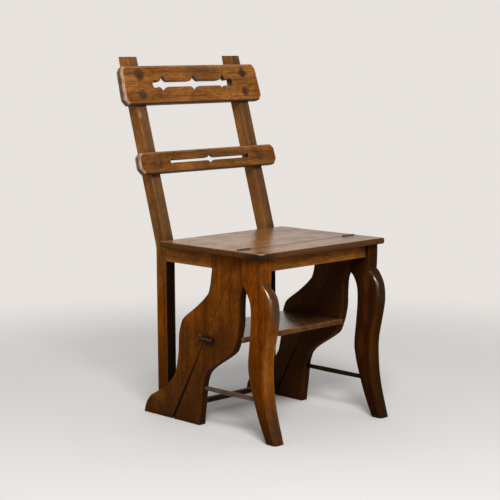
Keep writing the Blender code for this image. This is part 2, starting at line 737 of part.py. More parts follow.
def back_board(name, distance, length, height, shares, faces, chamfer, slot):
    """A pierced board with clipped corners and a chamfer round its front face.

    Its faces are the places of the front and the rear face, measured from the uprights' fronts.
    """
    mesh = prism(end_outline(length / 2, height / 2, shares), *faces, "Y")
    bevel(mesh, lambda edge: all(v.co.y < faces[0] + FIT for v in edge.verts), chamfer, 1)
    board = solid(name, mesh, fold, OAK_BACK, math.radians(25), -LEAN, back_place(distance))
    opening = prism(slot, faces[0] - OVERRUN, faces[1] + OVERRUN, "Y")
    cut(board, solid(name + "_slot", opening, fold, None, None, -LEAN, back_place(distance)))
    return board


def plug(name, board, front, distance, x):
    """A diamond-shaped plug over a fixing screw, its face a low pyramid just proud of the board."""
    half = PLUG_DIAGONAL / 2
    corners = [(x - half, 0), (x, -half), (x + half, 0), (x, half)]
    mesh = prism(corners, front, front + PLUG_DEPTH, "Y")
    face = min(mesh.faces, key=lambda f: f.calc_center_median().y)
    top = bmesh.ops.poke(mesh, faces=[face])["verts"][0]
    top.co.y = front - PLUG_RISE
    solid(name, mesh, fold, OAK_DARK, None, -LEAN, back_place(distance))
    wide = half + 2 * FIT
    hole = [(x - wide, 0), (x, -wide), (x + wide, 0), (x, wide)]
    pocket = prism(hole, front - OVERRUN, front + PLUG_DEPTH + FIT, "Y")
    cut(board, solid(name + "_pocket", pocket, fold, None, None, -LEAN, back_place(distance)))


crest_faces = (CREST_LET_IN - CREST_THICKNESS, CREST_LET_IN)
back_rail_faces = (-FIT - BACK_RAIL_THICKNESS, -FIT)
crest_cusps = [share * CREST_SLOT_HALF for share in CREST_CUSP_SHARES]
crest = back_board(
    "crest_rail", CREST_CENTRE, CREST_LENGTH, CREST_HEIGHT, CREST_END_SHARES, crest_faces,
    CREST_CHAMFER, slot_outline(CREST_SLOT_HALF, CREST_SLOT_RISE, CREST_LOBE_RADIUS,
                                CREST_CUSP_RISE, CREST_CUSP_REACH, crest_cusps))
back_rail = back_board(
    "back_rail", BACK_RAIL_CENTRE, BACK_RAIL_LENGTH, BACK_RAIL_HEIGHT, BACK_RAIL_END_SHARES,
    back_rail_faces, BACK_RAIL_CHAMFER, slot_outline(BACK_SLOT_HALF, BACK_SLOT_RISE,
                                                     BACK_LOBE_RADIUS, BACK_CUSP_RISE,
                                                     BACK_CUSP_REACH, (0,)))

for side, sign in SIDES:
    notch = block((sign * (FACE_X + OVERRUN), sign * (POST_INNER_X - OVERRUN)),
                  (-OVERRUN, CREST_LET_IN + FIT),
                  (-CREST_HEIGHT / 2 - FIT, CREST_HEIGHT / 2 + FIT))
    cut(posts[side], solid("crest_notch_" + side, notch, fold, None, None, -LEAN,
                           back_place(CREST_CENTRE)))
    plug_x = sign * (FACE_X - POST_WIDTH / 2)
    for place, step in (("upper", 1), ("lower", -1)):
        plug(f"crest_plug_{place}_{side}", crest, crest_faces[0],
             CREST_CENTRE + step * CREST_PLUG_SPACING / 2, plug_x)
    plug("back_rail_plug_" + side, back_rail, back_rail_faces[0], BACK_RAIL_CENTRE, plug_x)


# Hook and eye on the left panel: holds the two halves together

WIRE_RADIUS = 0.00125
SHANK_DEPTH = 0.008
LATCH_EYE_RADIUS = 0.005
HOOK_LOOP_RADIUS = 0.0034
HOOK_REACH = 0.040
HOOK_DROP = 0.0032
CATCH_RADIUS = 0.0060
CATCH_PLAY = 0.0008
EYE_START = math.radians(24)
EYE_END = math.radians(39)
LOOP_OPENING = math.radians(84)
LOOP_STEPS = 12

hook_bar_z = LATCH_HEIGHT - HOOK_LOOP_RADIUS
tip_y = LATCH_PIVOT_Y - HOOK_REACH
catch_y = tip_y + CATCH_RADIUS - 2 * WIRE_RADIUS - CATCH_PLAY
catch_z = hook_bar_z - 2 * WIRE_RADIUS - FIT


def eye_path(radius):
    """A screw-eye's wire as (out, round) points: in along the shank, then nearly once round the eye.

    Out is measured from the eye's centre towards the panel.
    """
    path = [(LATCH_STAND_OFF + SHANK_DEPTH, 0), (radius + 2 * WIRE_RADIUS, 0)]
    for k in range(LOOP_STEPS + 1):
        angle = -EYE_START - (2 * math.pi - EYE_START - EYE_END) * k / LOOP_STEPS
        path.append((radius * math.cos(angle), radius * math.sin(angle)))
    return path


def screw_eye(name, path, flat_normal, panel, body):
    """A screw-eye and the hole for its shank in the panel's outer face."""
    solid(name, tube(path, WIRE_RADIUS, flat_normal), body, IRON, math.radians(50))
    shank_y, shank_z = path[0][1:]
    bore = rod((-FACE_X - OVERRUN, shank_y, shank_z),
               (-FACE_X + SHANK_DEPTH + FIT, shank_y, shank_z), WIRE_RADIUS + 2 * FIT, 12)
    cut(panel, solid(name + "_bore", bore, body, None))


screw_eye("latch_eye_rear",
          [(LATCH_PIVOT_X + out, LATCH_PIVOT_Y, LATCH_HEIGHT - LATCH_EYE_RADIUS + up)
           for out, up in eye_path(LATCH_EYE_RADIUS)],
          (0, 1, 0), panels["rear", "left"], fold)
screw_eye("latch_eye_front",
          [(LATCH_PIVOT_X + out, catch_y + along, catch_z) for out, along in eye_path(CATCH_RADIUS)],
          (0, 0, 1), panels["front", "left"], chair)

hook_points = []
for k in range(LOOP_STEPS + 1):
    angle = (2 * math.pi - LOOP_OPENING) * (1 - k / LOOP_STEPS) - math.pi / 2
    hook_points.append((LATCH_PIVOT_X, LATCH_PIVOT_Y + HOOK_LOOP_RADIUS * math.cos(angle),
                        LATCH_HEIGHT + HOOK_LOOP_RADIUS * math.sin(angle)))
for k in range(4):
    turn = math.pi / 2 * k / 3
    hook_points.append((LATCH_PIVOT_X, tip_y + HOOK_DROP / 2 * (1 - math.sin(turn)),
                        hook_bar_z - HOOK_DROP / 2 * (1 - math.cos(turn))))
hook_points.append((LATCH_PIVOT_X, tip_y, hook_bar_z - HOOK_DROP))
solid("latch_hook", tube(hook_points, WIRE_RADIUS, (1, 0, 0)), latch, IRON, math.radians(50))
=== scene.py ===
import math

import bmesh
import bpy
import numpy as np
from mathutils import Matrix, Vector


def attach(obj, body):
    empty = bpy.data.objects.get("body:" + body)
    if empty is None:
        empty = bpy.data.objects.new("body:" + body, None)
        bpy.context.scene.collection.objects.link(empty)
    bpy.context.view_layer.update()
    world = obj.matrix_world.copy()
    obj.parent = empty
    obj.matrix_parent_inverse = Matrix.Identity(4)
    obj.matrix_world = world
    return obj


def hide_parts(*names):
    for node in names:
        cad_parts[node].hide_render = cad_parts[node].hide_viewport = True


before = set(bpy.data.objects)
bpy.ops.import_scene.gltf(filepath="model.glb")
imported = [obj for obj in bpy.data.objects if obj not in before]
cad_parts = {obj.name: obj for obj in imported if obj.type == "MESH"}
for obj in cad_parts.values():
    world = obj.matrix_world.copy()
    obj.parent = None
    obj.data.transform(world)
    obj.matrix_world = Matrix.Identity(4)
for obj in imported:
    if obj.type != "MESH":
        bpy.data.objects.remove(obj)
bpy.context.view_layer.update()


# Side panels: each side is one 21.5 mm oak board, sawn to a curved outline and cut on the slant into a
# front and a rear half. The curved edges are rubbed round, the slanting cut is left nearly sharp, and
# the board is stained and waxed outside, and inside bare, dusty and darkened with painted shade.

SIDES = (("left", -1), ("right", 1))
POST_FACE_Y = 0.104976
UNDERSIDE = 0.4165
SEAT_DEPTH = 0.3465
AXIS_Z = 0.4315
PANEL_X = (0.1630, 0.1845)
PANEL_TOP = 0.4162
SPLIT_Y = -0.258
LANCET_Y = -0.785 * SEAT_DEPTH
FIT = 0.0003
CUT_FOOT = 0.0205
CUT_GAP = 0.0005
CUT_SPREAD = 0.0065
CUT_TIGHT_Z = 0.62 * AXIS_Z
PANEL_ROUND = 0.0026
SHARP_ARRIS = 0.0004

PANEL_FRONT_SHARES = (
    (0.000, 0.320), (0.120, 0.342), (0.250, 0.366), (0.330, 0.424), (0.430, 0.612), (0.480, 0.673),
    (0.600, 0.721), (0.730, 0.730), (0.790, 0.738), (0.839, 0.768), (0.862, 0.784))
PANEL_REAR_SHARES = (
    (0.000, -0.256), (0.040, -0.246), (0.080, -0.218), (0.113, -0.176), (0.142, -0.112),
    (0.213, 0.014), (0.259, 0.064), (0.302, 0.090), (0.410, 0.115), (0.500, 0.122), (0.571, 0.146),
    (0.612, 0.183), (0.681, 0.303), (0.746, 0.398), (0.787, 0.433), (0.873, 0.456), (0.914, 0.462))


def smooth_curve(points, steps):
    """A curve through every given point: each span is the cubic whose slope at a point is half the
    step from the point before it to the point after it."""
    p = np.asarray(points, float)
    p = np.vstack((2 * p[0] - p[1], p, 2 * p[-1] - p[-2]))
    a, b, c, d = (p[i:len(p) - 3 + i, None] for i in range(4))
    t = (np.arange(steps) / steps)[None, :, None]
    spans = (2 * b + (c - a) * t + (2 * a - 5 * b + 4 * c - d) * t ** 2
             + (3 * b - a - 3 * c + d) * t ** 3) / 2
    return np.vstack((spans.reshape(-1, p.shape[1]), p[-2]))


def side_curve(shares, steps=10):
    """A side-view edge as (y, z) points, upwards, from shares of the height and of the depth."""
    height, depth = np.transpose(shares)
    return smooth_curve(np.column_stack((-SEAT_DEPTH * depth, UNDERSIDE * height)), steps)


def path_lengths(path):
    """How far along a path each of its points lies."""
    return np.concatenate(([0], np.cumsum(np.linalg.norm(np.diff(path, axis=0), axis=1))))


def along_path(path, places):
    """Points at the given lengths along a path."""
    return np.column_stack([np.interp(places, path_lengths(path), axis) for axis in path.T])


def spaced(path, step, closed=True):
    """A path with points added along its long spans, at most a step apart."""
    ends = np.vstack((path, path[:1])) if closed else path
    length = path_lengths(ends)
    extra = np.arange(step / 2, length[-1], step)
    clear = np.abs(extra[:, None] - length).min(1) > (0.45 if closed else 0.35) * step
    kept = length[:-1] if closed else length
    return along_path(ends, np.sort(np.concatenate((kept, extra[clear]))))


def turned_left(outline):
    """A closed outline, run so that its inside lies on the left."""
    p = np.asarray(outline, float)
    ahead = np.roll(p, -1, 0)
    return p if (p[:, 0] * ahead[:, 1] - p[:, 1] * ahead[:, 0]).sum() > 0 else p[::-1]


def corner_table(p):
    """For each point of a closed outline: the inward mitre, how far the point can move inwards before
    it meets its neighbours (a share of the local radius, or of the distance to a sharp corner times
    the tangent of half that corner's angle), and how near it is to a corner, from one to zero 5 mm
    away."""
    edges = p - np.roll(p, 1, 0), np.roll(p, -1, 0) - p
    spans = [np.linalg.norm(edge, axis=1) for edge in edges]
    back, ahead = (edge / span[:, None] for edge, span in zip(edges, spans))
    length = (spans[0] + spans[1]) / 2
    first, second = (np.column_stack((-edge[:, 1], edge[:, 0])) for edge in (back, ahead))
    mitre = (first + second) / (1 + (first * second).sum(1))[:, None]
    turn = np.arctan2(back[:, 0] * ahead[:, 1] - back[:, 1] * ahead[:, 0], (back * ahead).sum(1))
    rounded = (turn > 0.02) & (turn < 0.5)
    radius = np.where(rounded, length / np.maximum(turn, 0.02), 1.0)
    reach = 0.92 * radius
    sharp = np.flatnonzero(turn > 0.5)
    if len(sharp):
        gap = np.linalg.norm(p[:, None] - p[sharp], axis=2)
        gap[sharp, np.arange(len(sharp))] = length[sharp]
        reach = np.minimum(reach, (0.85 * np.tan((math.pi - turn[sharp]) / 2) * gap).min(1))
    corner = (turn > 0.5) | (rounded & (radius < 0.009))
    gap = np.linalg.norm(p[:, None] - p[corner], axis=2) if corner.any() else np.ones((len(p), 1))
    return mitre, reach, np.clip(1 - gap.min(1) / 0.005, 0, 1)


def board(outline, low, high, arris, ripple=0.0, step=0.006):
    """A board as rings round its edge, in (u, v, w): the outline lies in u and v, and the board is as
    thick as low to high in w. Each ring is the outline moved inwards along its mitres by
    arris * (1 - sin a), at the height arris * (1 - cos a), so both edges are quarter rounds, with
    flat rings beyond them. The wear is one on the rounds and fades beside them."""
    edge = spaced(turned_left(outline), step)
    size = (arris(edge) if callable(arris) else arris) * np.ones(len(edge))
    mitre, reach, corner = corner_table(edge)
    turn = np.arange(len(edge)) / len(edge) * 2 * np.pi
    size *= 1 + ripple * (np.sin(5 * turn + 1) + np.sin(13 * turn + 4) + np.sin(29 * turn)) / 3
    thick = abs(high - low)
    size = np.minimum(np.minimum(size, 0.75 * reach), 0.45 * thick)
    a = np.linspace(0, math.pi / 2, 6)
    fall, hold = min(0.0035, 0.2 * thick), 0.0003
    rows = [(1, fall, 0, 0, 0), (1, hold, 0, 0, 0.55)]
    rows += [(1 - math.sin(t), 0, 1 - math.cos(t), 0, 1) for t in a]
    rows += [(0, 0, 1, hold, 0.55), (0, 0, 1, fall, 0)]
    shrink, inset, rise, lift, worn = np.array(rows).T[:, :, None]
    inwards = np.minimum(shrink * size + inset, reach * np.where(inset > hold, 1, 0.85))
    height = (rise * size + lift) * np.sign(high - low)
    flat = edge + mitre * inwards[..., None]
    wall = np.maximum(worn * np.ones_like(size), corner * (rise > 0))
    return (np.vstack((np.dstack((flat, low + height)), np.dstack((flat, high - height))[::-1])),
            np.vstack((wall, wall[::-1])))


def skin(rings, closed=False):
    """Points and faces of a shape given as rings of points: squares between one ring and the next,
    and a flat face over the first and the last ring, unless the last joins the first."""
    count, size = rings.shape[:2]
    index = np.arange(count * size).reshape(count, size)
    low = index if closed else index[:-1]
    high = np.roll(index, -1, 0) if closed else index[1:]
    faces = np.stack((low, np.roll(low, -1, 1), np.roll(high, -1, 1), high), 2).reshape(-1, 4).tolist()
    if not closed:
        faces += [index[0][::-1].tolist(), index[-1].tolist()]
    return rings.reshape(-1, 3), faces


def place_axes(rings, order):
    """Rings given in (u, v, w) turned to the chair's axes, with y measured from the posts' faces."""
    return rings[..., [order.index(axis) for axis in "xyz"]] + (0, POST_FACE_Y, 0)


def plain_object(name, points, faces):
    """An object at the origin whose mesh holds the given points and faces, facing outwards."""
    mesh = bpy.data.meshes.new(name)
    mesh.from_pydata(np.asarray(points).tolist(), [], faces)
    work = bmesh.new()
    work.from_mesh(mesh)
    bmesh.ops.recalc_face_normals(work, faces=work.faces)
    work.to_mesh(mesh)
    work.free()
    piece = bpy.data.objects.new(name, mesh)
    bpy.context.scene.collection.objects.link(piece)
    return piece


def finish_piece(piece, node_name, body, look, sharp=32):
    """Shading, material, body, and the hidden CAD node that a finished piece stands for."""
    piece.data.shade_smooth()
    piece.data.set_sharp_from_angle(angle=math.radians(sharp))
    piece.data.materials.clear()
    piece.data.materials.append(look)
    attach(piece, body)
    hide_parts(node_name)


def set_grain(piece, places, wear, turn):
    """Stores where each point lies in the log (along, across and through it), and how worn it is.
    The turn sets every piece at a different place of the log, so no two share a figure."""
    grain = places + np.array((0.613, 0.171, 0.0937)) * turn
    for name, kind, field_name, values in (("grain", "FLOAT_VECTOR", "vector", grain),
                                           ("wear", "FLOAT", "value", wear)):
        layer = piece.data.attributes.new(name, kind, "POINT")
        layer.data.foreach_set(field_name, np.asarray(values, np.float32).ravel())


def wooden(name, node_name, rings, wear, order, body, look, turn, sharp=32):
    """A piece of wood from rings, with its grain along the axes named in order."""
    points, faces = skin(rings)
    piece = plain_object(name, points, faces)
    set_grain(piece, points[:, ["xyz".index(axis) for axis in order]], wear, turn)
    finish_piece(piece, node_name, body, look, sharp)


# The oak's look, first used on the panels: growth rings round a far heart, streaks, fibres, pores and
# flecks. The signs of age and each piece's own marks lie over them.

class Field:
    """A value, vector or colour that changes over a surface: a shader socket, and the Math nodes
    that adding, subtracting and multiplying make."""

    def __init__(self, socket):
        self.socket, self.tree = socket, socket.id_data

    def __add__(self, other):
        return maths("ADD", self, other)

    def __sub__(self, other):
        return maths("SUBTRACT", self, other)

    def __rsub__(self, other):
        return maths("SUBTRACT", other, self)

    def __mul__(self, other):
        return maths("MULTIPLY", self, other)

    def __abs__(self):
        return maths("ABSOLUTE", self)


def feed(socket, value):
    """Links a field to a socket, or sets the socket to a constant."""
    if isinstance(value, Field):
        socket.id_data.links.new(value.socket, socket)
    else:
        socket.default_value = value


def node(tree, kind, inputs=(), **settings):
    """A shader node with its settings and inputs."""
    made = tree.nodes.new(kind)
    for key, value in settings.items():
        setattr(made, key, value)
    for key, value in dict(inputs).items():
        feed(made.inputs[key], value)
    return made


def field(tree, kind, inputs=(), output=0, **settings):
    """One output of a new shader node."""
    return Field(node(tree, kind, inputs, **settings).outputs[output])


def maths(operation, *values, clamp=False):
    """A Math node's result."""
    tree = next(value.tree for value in values if isinstance(value, Field))
    return field(tree, "ShaderNodeMath", enumerate(values), operation=operation, use_clamp=clamp)


def vectors(operation, *values):
    """A Vector Math node's vector."""
    return field(values[0].tree, "ShaderNodeVectorMath", enumerate(values), operation=operation)


def scaled(vector, share):
    """A vector or colour multiplied by a value."""
    return field(vector.tree, "ShaderNodeVectorMath", {0: vector, "Scale": share}, operation="SCALE")


def length_of(vector):
    """A vector's length."""
    return field(vector.tree, "ShaderNodeVectorMath", {0: vector}, "Value", operation="LENGTH")


def noise(vector, stretch, detail=2.0, roughness=0.5, output="Fac"):
    """Noise from 0 to 1 on a vector stretched along each axis."""
    return field(vector.tree, "ShaderNodeTexNoise", {
        "Vector": vectors("MULTIPLY", vector, stretch), "Scale": 1.0, "Detail": detail,
        "Roughness": roughness}, output)


def ranged(value, low, high, to_low=0.0, to_high=1.0):
    """A value taken smoothly from one range to another, and held at its ends."""
    return field(value.tree, "ShaderNodeMapRange", {
        "Value": value, "From Min": low, "From Max": high, "To Min": to_low, "To Max": to_high},
        interpolation_type="SMOOTHSTEP")


def blended(share, first, second, kind="MIX"):
    """Two colours mixed, or the first multiplied by the second."""
    first, second = ((*colour, 1) if isinstance(colour, tuple) else colour for colour in (first, second))
    tree = next(value.tree for value in (share, first, second) if isinstance(value, Field))
    return field(tree, "ShaderNodeMix", {0: share, 6: first, 7: second}, 2, data_type="RGBA",
                 blend_type=kind)


def group_of(name, inputs, outputs, build):
    """A node group with named inputs and outputs. Build is given the inputs and gives the outputs,
    which are values."""
    tree = bpy.data.node_groups.new(name, "ShaderNodeTree")
    for title, value in inputs.items():
        kind = "NodeSocketVector" if isinstance(value, tuple) else "NodeSocketFloat"
        tree.interface.new_socket(title, in_out="INPUT", socket_type=kind).default_value = value
    for title in outputs:
        tree.interface.new_socket(title, in_out="OUTPUT", socket_type="NodeSocketFloat")
    given = tree.nodes.new("NodeGroupInput").outputs
    result = tree.nodes.new("NodeGroupOutput").inputs
    for title, value in zip(outputs, build(*(Field(given[title]) for title in inputs))):
        feed(result[title], value)
    return tree


def placed(group, **inputs):
    """The outputs of a node group placed in a material."""
    tree = next(value.tree for value in inputs.values() if isinstance(value, Field))
    return [Field(out) for out in node(tree, "ShaderNodeGroup", inputs, node_tree=group).outputs]


def oak_figure(grain, rings):
    """Oak: the tone of streaks, rings and fibres, the open pores, the surface's height, and light
    and dark flecks that follow the grain."""
    wander = vectors("SUBTRACT", noise(grain, (1.6, 8.0, 8.0), output="Color"), (0.5, 0.5, 0.5))
    across = vectors("ADD", vectors("MULTIPLY", grain, (0.03, 1.0, 1.0)), scaled(wander, 0.012))
    turns = length_of(vectors("ADD", across, (0.0, 0.031, 0.067))) * rings
    ring = maths("FRACT", turns)
    late = ranged(ring, 0.0, 0.35) * ranged(ring, 0.86, 1.0, 1.0, 0.35)
    streak, band, fibre = (ranged(noise(grain, stretch, 3.0), 0.3, 0.7) for stretch in (
        (3.0, 80.0, 80.0), (1.2, 24.0, 24.0), (18.0, 460.0, 460.0)))
    tone = streak * 0.30 + band * 0.26 + fibre * 0.20 + late * 0.24
    pores = ranged(noise(grain, (70.0, 1500.0, 1500.0), 1.0), 0.56, 0.68)
    pores = pores * ranged(late, 0.2, 0.9, 1.0, 0.25)
    fleck = ranged(noise(grain, (55.0, 250.0, 250.0), 2.0, 0.6), 0.34, 0.66, 0.77, 1.23)
    return tone, pores, fibre * 0.5 - pores, fleck


def age(place):
    """Old polish: broad light and dark patches, dirt and painted shade where surfaces meet and under
    things, and the rubbed edges.
    """
    patch = field(place.tree, "ShaderNodeTexNoise", {
        "Vector": place, "Scale": 14.0, "Detail": 4.0, "Roughness": 0.55}, "Fac")
    shade = field(place.tree, "ShaderNodeAmbientOcclusion", {"Distance": 0.03}, "AO", samples=6)
    # This mask is darkest where ambient occlusion is deep: partly dirt, partly painted shade in corners,
    # under things and between parts.
    dirt_and_shade = ranged(noise(place, (90.0,) * 3, 3.0), 0.2, 0.6, 0.55, 1.0) * ranged(shade, 0.35, 0.9, 1.0, 0.0)
    worn = field(place.tree, "ShaderNodeAttribute", output="Fac", attribute_name="wear")
    edge = worn * ranged(noise(place, (60.0,) * 3, 4.0, 0.6), 0.30, 0.70, 0.35, 1.0)
    return ranged(patch, 0.32, 0.68), dirt_and_shade, edge


def spot(place, centre, size, ragged, core):
    """A ragged soft spot: one at its centre and zero beyond its size along each axis."""
    away = length_of(vectors("DIVIDE", vectors("SUBTRACT", place, centre), size))
    away = away + (noise(place, (70.0,) * 3, 3.0) - 0.5) * ragged
    return (ranged(away, core, 1.0, 1.0, 0.0),)


OAK_FIGURE = group_of("oak figure", {"Grain": (0, 0, 0), "Rings": 330.0},
                      ("Tone", "Pores", "Height", "Fleck"), oak_figure)
AGE = group_of("age", {"Place": (0, 0, 0)}, ("Patch", "Dirt And Shade", "Edge"), age)
SPOT = group_of("spot", {"Place": (0, 0, 0), "Centre": (0, 0, 0), "Size": (1, 1, 1), "Ragged": 0.5,
                         "Core": 0.3}, ("Mask",), spot)


class Paint:
    """A material's colour while a piece's own marks are laid over it, and where they can lie."""

    def __init__(self, colour, place):
        self.colour, self.place, self.tree = colour, place, place.tree
        parts = node(self.tree, "ShaderNodeSeparateXYZ", {0: place}).outputs
        self.x, self.y, self.z = (Field(part) for part in parts)

    def tint(self, share, shade, kind="MIX"):
        """Mixes a shade into the colour, or multiplies the colour by it."""
        self.colour = blended(share, self.colour, shade, kind)

    def spot(self, centre, size, share, shade, ragged=0.5, core=0.3):
        """Mixes a shade into the colour in one ragged spot."""
        mask, = placed(SPOT, Place=self.place, Centre=tuple(centre), Size=size, Ragged=ragged, Core=core)
        self.tint(mask * share, shade)

    def facing(self, axis, low, high, sides=False):
        """Zero where the surface's normal has less than low along an axis, one where it has more
        than high. With sides, both ways along the axis count."""
        normal = field(self.tree, "ShaderNodeTexCoord", output="Normal")
        part = field(self.tree, "ShaderNodeSeparateXYZ", {0: normal}, axis)
        return ranged(abs(part) if sides else part, low, high)


def new_look(name):
    """A new material, its Principled shader's inputs, and where each point lies on the chair."""
    look = bpy.data.materials.new(name)
    look.use_nodes = True
    tree = look.node_tree
    return look, tree.nodes["Principled BSDF"].inputs, field(tree, "ShaderNodeTexCoord", output="Object")


def oak(name, shades, roughness, specular, worn, rings=330.0, patch=0.45, edge=0.6, dirt_and_shade_share=0.8,
        coat=0.0, swell=0.5, marks=None):
    """Stained oak: the shades run from the dark pores and streaks to the light wood. Marks is a
    function that lays a piece's own marks on the colour, and may give the share of the polish that
    is left at each place."""
    look, shader, place = new_look(name)
    tree = look.node_tree
    grain = field(tree, "ShaderNodeAttribute", output="Vector", attribute_name="grain")
    tone, pores, height, fleck = placed(OAK_FIGURE, Grain=grain, Rings=rings)
    patchy, dirt_and_shade, rubbed = placed(AGE, Place=place)
    ramp = node(tree, "ShaderNodeValToRGB", {"Fac": tone})
    band = ramp.color_ramp
    band.elements[0].position, band.elements[0].color = 0.22, (*shades[0], 1)
    band.elements[1].position, band.elements[1].color = 0.80, (*shades[2], 1)
    band.elements.new(0.5).color = (*shades[1], 1)
    colour = blended(pores * 0.55, Field(ramp.outputs["Color"]), shades[0])
    paint = Paint(scaled(colour, (patchy * (1.5 * patch) + (1 - patch)) * fleck), place)
    shine = marks(paint) if marks else None
    paint.tint(rubbed * edge, worn)
    # Darkens the colour by the age mask: dirt and painted shade where surfaces meet and under things.
    paint.tint(dirt_and_shade * dirt_and_shade_share, (0.010, 0.005, 0.003))
    feed(shader["Base Color"], paint.colour)
    rough = patchy * -0.10 + (roughness + 0.05) + pores * 0.12
    feed(shader["Roughness"], maths("ADD", rough, dirt_and_shade * 0.2, clamp=True))
    bump = field(tree, "ShaderNodeBump", {"Height": height, "Strength": 0.35, "Distance": 0.0004})
    feed(shader["Normal"], field(tree, "ShaderNodeBump", {
        "Height": noise(grain, (5.0, 26.0, 26.0)), "Strength": swell, "Distance": 0.0012, "Normal": bump}))
    feed(shader["Specular IOR Level"], shine * specular if shine else specular)
    if coat:
        feed(shader["Coat Weight"], shine * coat)
    feed(shader["Specular Tint"], (1.0, 0.75, 0.47, 1))
    feed(shader["Coat Roughness"], 0.12)
    return look


def front_cut_y(z):
    """The slanting cut at the front half: a straight line from the floor up to the hinges."""
    return z * ((SPLIT_Y + CUT_FOOT) / AXIS_Z) - CUT_FOOT


def rear_cut_y(z):
    """The same cut at the rear half, tight above and gaping slowly towards the floor."""
    return front_cut_y(z) + CUT_GAP + CUT_SPREAD * np.maximum(0, 1 - z / CUT_TIGHT_Z)


def panel_marks(p):
    """Inner faces bare and darkened with painted shade, the rear halves' lighter, a dark ragged foot, black
    sawn edges that also carry a painted shadow of the legs, the wood redder ahead of the cut, stained along
    it and darker round its lower end, fine specks, a rubbed light spot on the near toe, and a stain with
    painted shadow round the hook."""
    inner = ranged(abs(p.x), PANEL_X[0] + 0.0012, PANEL_X[0] + 0.0024, 1.0, 0.0)
    from_cut = p.y - (front_cut_y(p.z) + (POST_FACE_Y + 0.002))
    bare = blended(ranged(from_cut, -0.002, 0.002), (0.015, 0.0065, 0.003), (0.036, 0.015, 0.0045))
    # Painted shade: the inner faces under the seat are darkened over the bare wood's own colour.
    p.tint(inner * 0.80, bare)
    level = p.z - noise(p.place, (14.0, 14.0, 9.0), 3.0) * 0.10
    p.tint(ranged(level, -0.03, 0.11, 0.62, 0.0), (0.030, 0.012, 0.003))
    # The black sawn edges are partly dark bare wood and partly a painted shadow of the legs on the front
    # edges.
    p.tint((1 - p.facing("X", 0.86, 0.985, True)) * 0.94, (0.008, 0.005, 0.0025))
    ahead, beside = ranged(from_cut, -0.05, 0.0, 1.0, 0.0), abs(from_cut)
    specks = ranged(noise(p.place, (190.0, 190.0, 120.0), 2.0, 0.6), 0.38, 0.62, 0.45, 0.0)
    for share, reach, shade in (
            (ahead, (0.15, 0.36, 0.42, 0.30), (0.040, 0.010, 0.001)),
            (ranged(beside, 0.0025, 0.0085, 0.85, 0.0), (0.04, 0.21, 1.0, 0.05), (0.009, 0.004, 0.001)),
            (ranged(beside, 0.03, 0.10, 0.38, 0.07), (0.215, 0.265, 1.0, 0.0), (0.030, 0.010, 0.002)),
            (specks, (0.10, 0.32, 1.0, 0.35), (0.030, 0.010, 0.001))):
        p.tint(share * ranged(p.z, *reach), shade)
    p.spot((-PANEL_X[1], 0.140, 0.052), (0.02, 0.040, 0.030), 0.55, (0.170, 0.050, 0.004), 0.8, 0.1)
    # A stain round the hook, partly a painted shadow of the hook and its eyes.
    p.spot((-PANEL_X[1], -0.045, 0.209), (0.02, 0.036, 0.020), 0.90, (0.012, 0.005, 0.002), 0.7, 0.25)


def panel_arris(points):
    """Rubbed round along the shaped edges, and nearly sharp along the cut, under the seat and at the
    leg."""
    y, z = points.T
    plain = (np.abs(y - front_cut_y(z)) < 0.0075) | (z > PANEL_TOP - 0.001)
    return np.where(plain | ((y < LANCET_Y + 0.001) & (z > 0.35)), SHARP_ARRIS, PANEL_ROUND)


PANEL_OAK = oak("panel oak", ((0.068, 0.017, 0.0011), (0.128, 0.033, 0.0018), (0.185, 0.052, 0.0034)),
                0.50, 0.02, (0.17, 0.052, 0.007), patch=0.28, edge=0.22, dirt_and_shade_share=0.55, marks=panel_marks)
front_edge = side_curve(PANEL_FRONT_SHARES)
rear_edge = side_curve(PANEL_REAR_SHARES)
joint_y = LANCET_Y + FIT / 2
front_half = np.vstack((front_edge[:-1], [
    (joint_y, front_edge[-1, 1]), (joint_y, PANEL_TOP), (front_cut_y(PANEL_TOP), PANEL_TOP),
    (front_cut_y(0.0), 0.0)]))
rear_half = np.vstack((rear_edge, [(rear_edge[-1, 0], PANEL_TOP)], [
    (rear_cut_y(z), z) for z in (PANEL_TOP, CUT_TIGHT_Z, 0.0)]))

for count, (side, sign) in enumerate(SIDES):
    for half, outline, turn in (("front", front_half, 0), ("rear", rear_half, 0.02)):
        rings, wear = board(outline, sign * PANEL_X[0], sign * PANEL_X[1], panel_arris, 0.25)
        wooden(f"side_panel_{half}_{side}", f"panel_{half}_{side}", place_axes(rings, "yzx"), wear, "zyx",
               f"{half}_frame", PANEL_OAK, 1 + 2 * count + turn)


# Front legs: cabriole legs sawn from 31.5 mm oak. They are square where they meet the seat, stopped by
# a small slanting shoulder at the knee, and rounded in front below it, where the polish is rubbed bright.

LEG_FRONT_SHARES = (
    (0.000, 1.085), (0.140, 1.031), (0.250, 1.002), (0.360, 0.990), (0.460, 0.993), (0.570, 1.021),
    (0.660, 1.044), (0.720, 1.048), (0.780, 1.038), (0.835, 1.004), (0.868, 0.968))
LEG_REAR_SHARES = (
    (0.000, 1.001), (0.110, 0.938), (0.240, 0.880), (0.340, 0.846), (0.420, 0.834), (0.550, 0.850),
    (0.670, 0.862), (0.760, 0.853), (0.839, 0.804), (0.862, 0.786))
LEG_WIDTH = 0.0315
LEG_SWELL = 0.0024
LEG_ROUND = 0.0080
LEG_ARRIS = 0.0014
KNEE_TOP = 0.868 * UNDERSIDE
SHOULDER_FALL = 0.30
SHOULDER_STEP = 0.0012
SHOULDER_REACH = 0.016
FOOT_ARRIS = (0.0010, 0.0012)
leg_front = side_curve(LEG_FRONT_SHARES, 16)
leg_rear = side_curve(LEG_REAR_SHARES, 16)


def joined(runs):
    """Sections given as runs of (u, v), joined into one array of u and one of v."""
    return [np.hstack(part) for part in zip(*(np.broadcast_arrays(*run) for run in runs))]


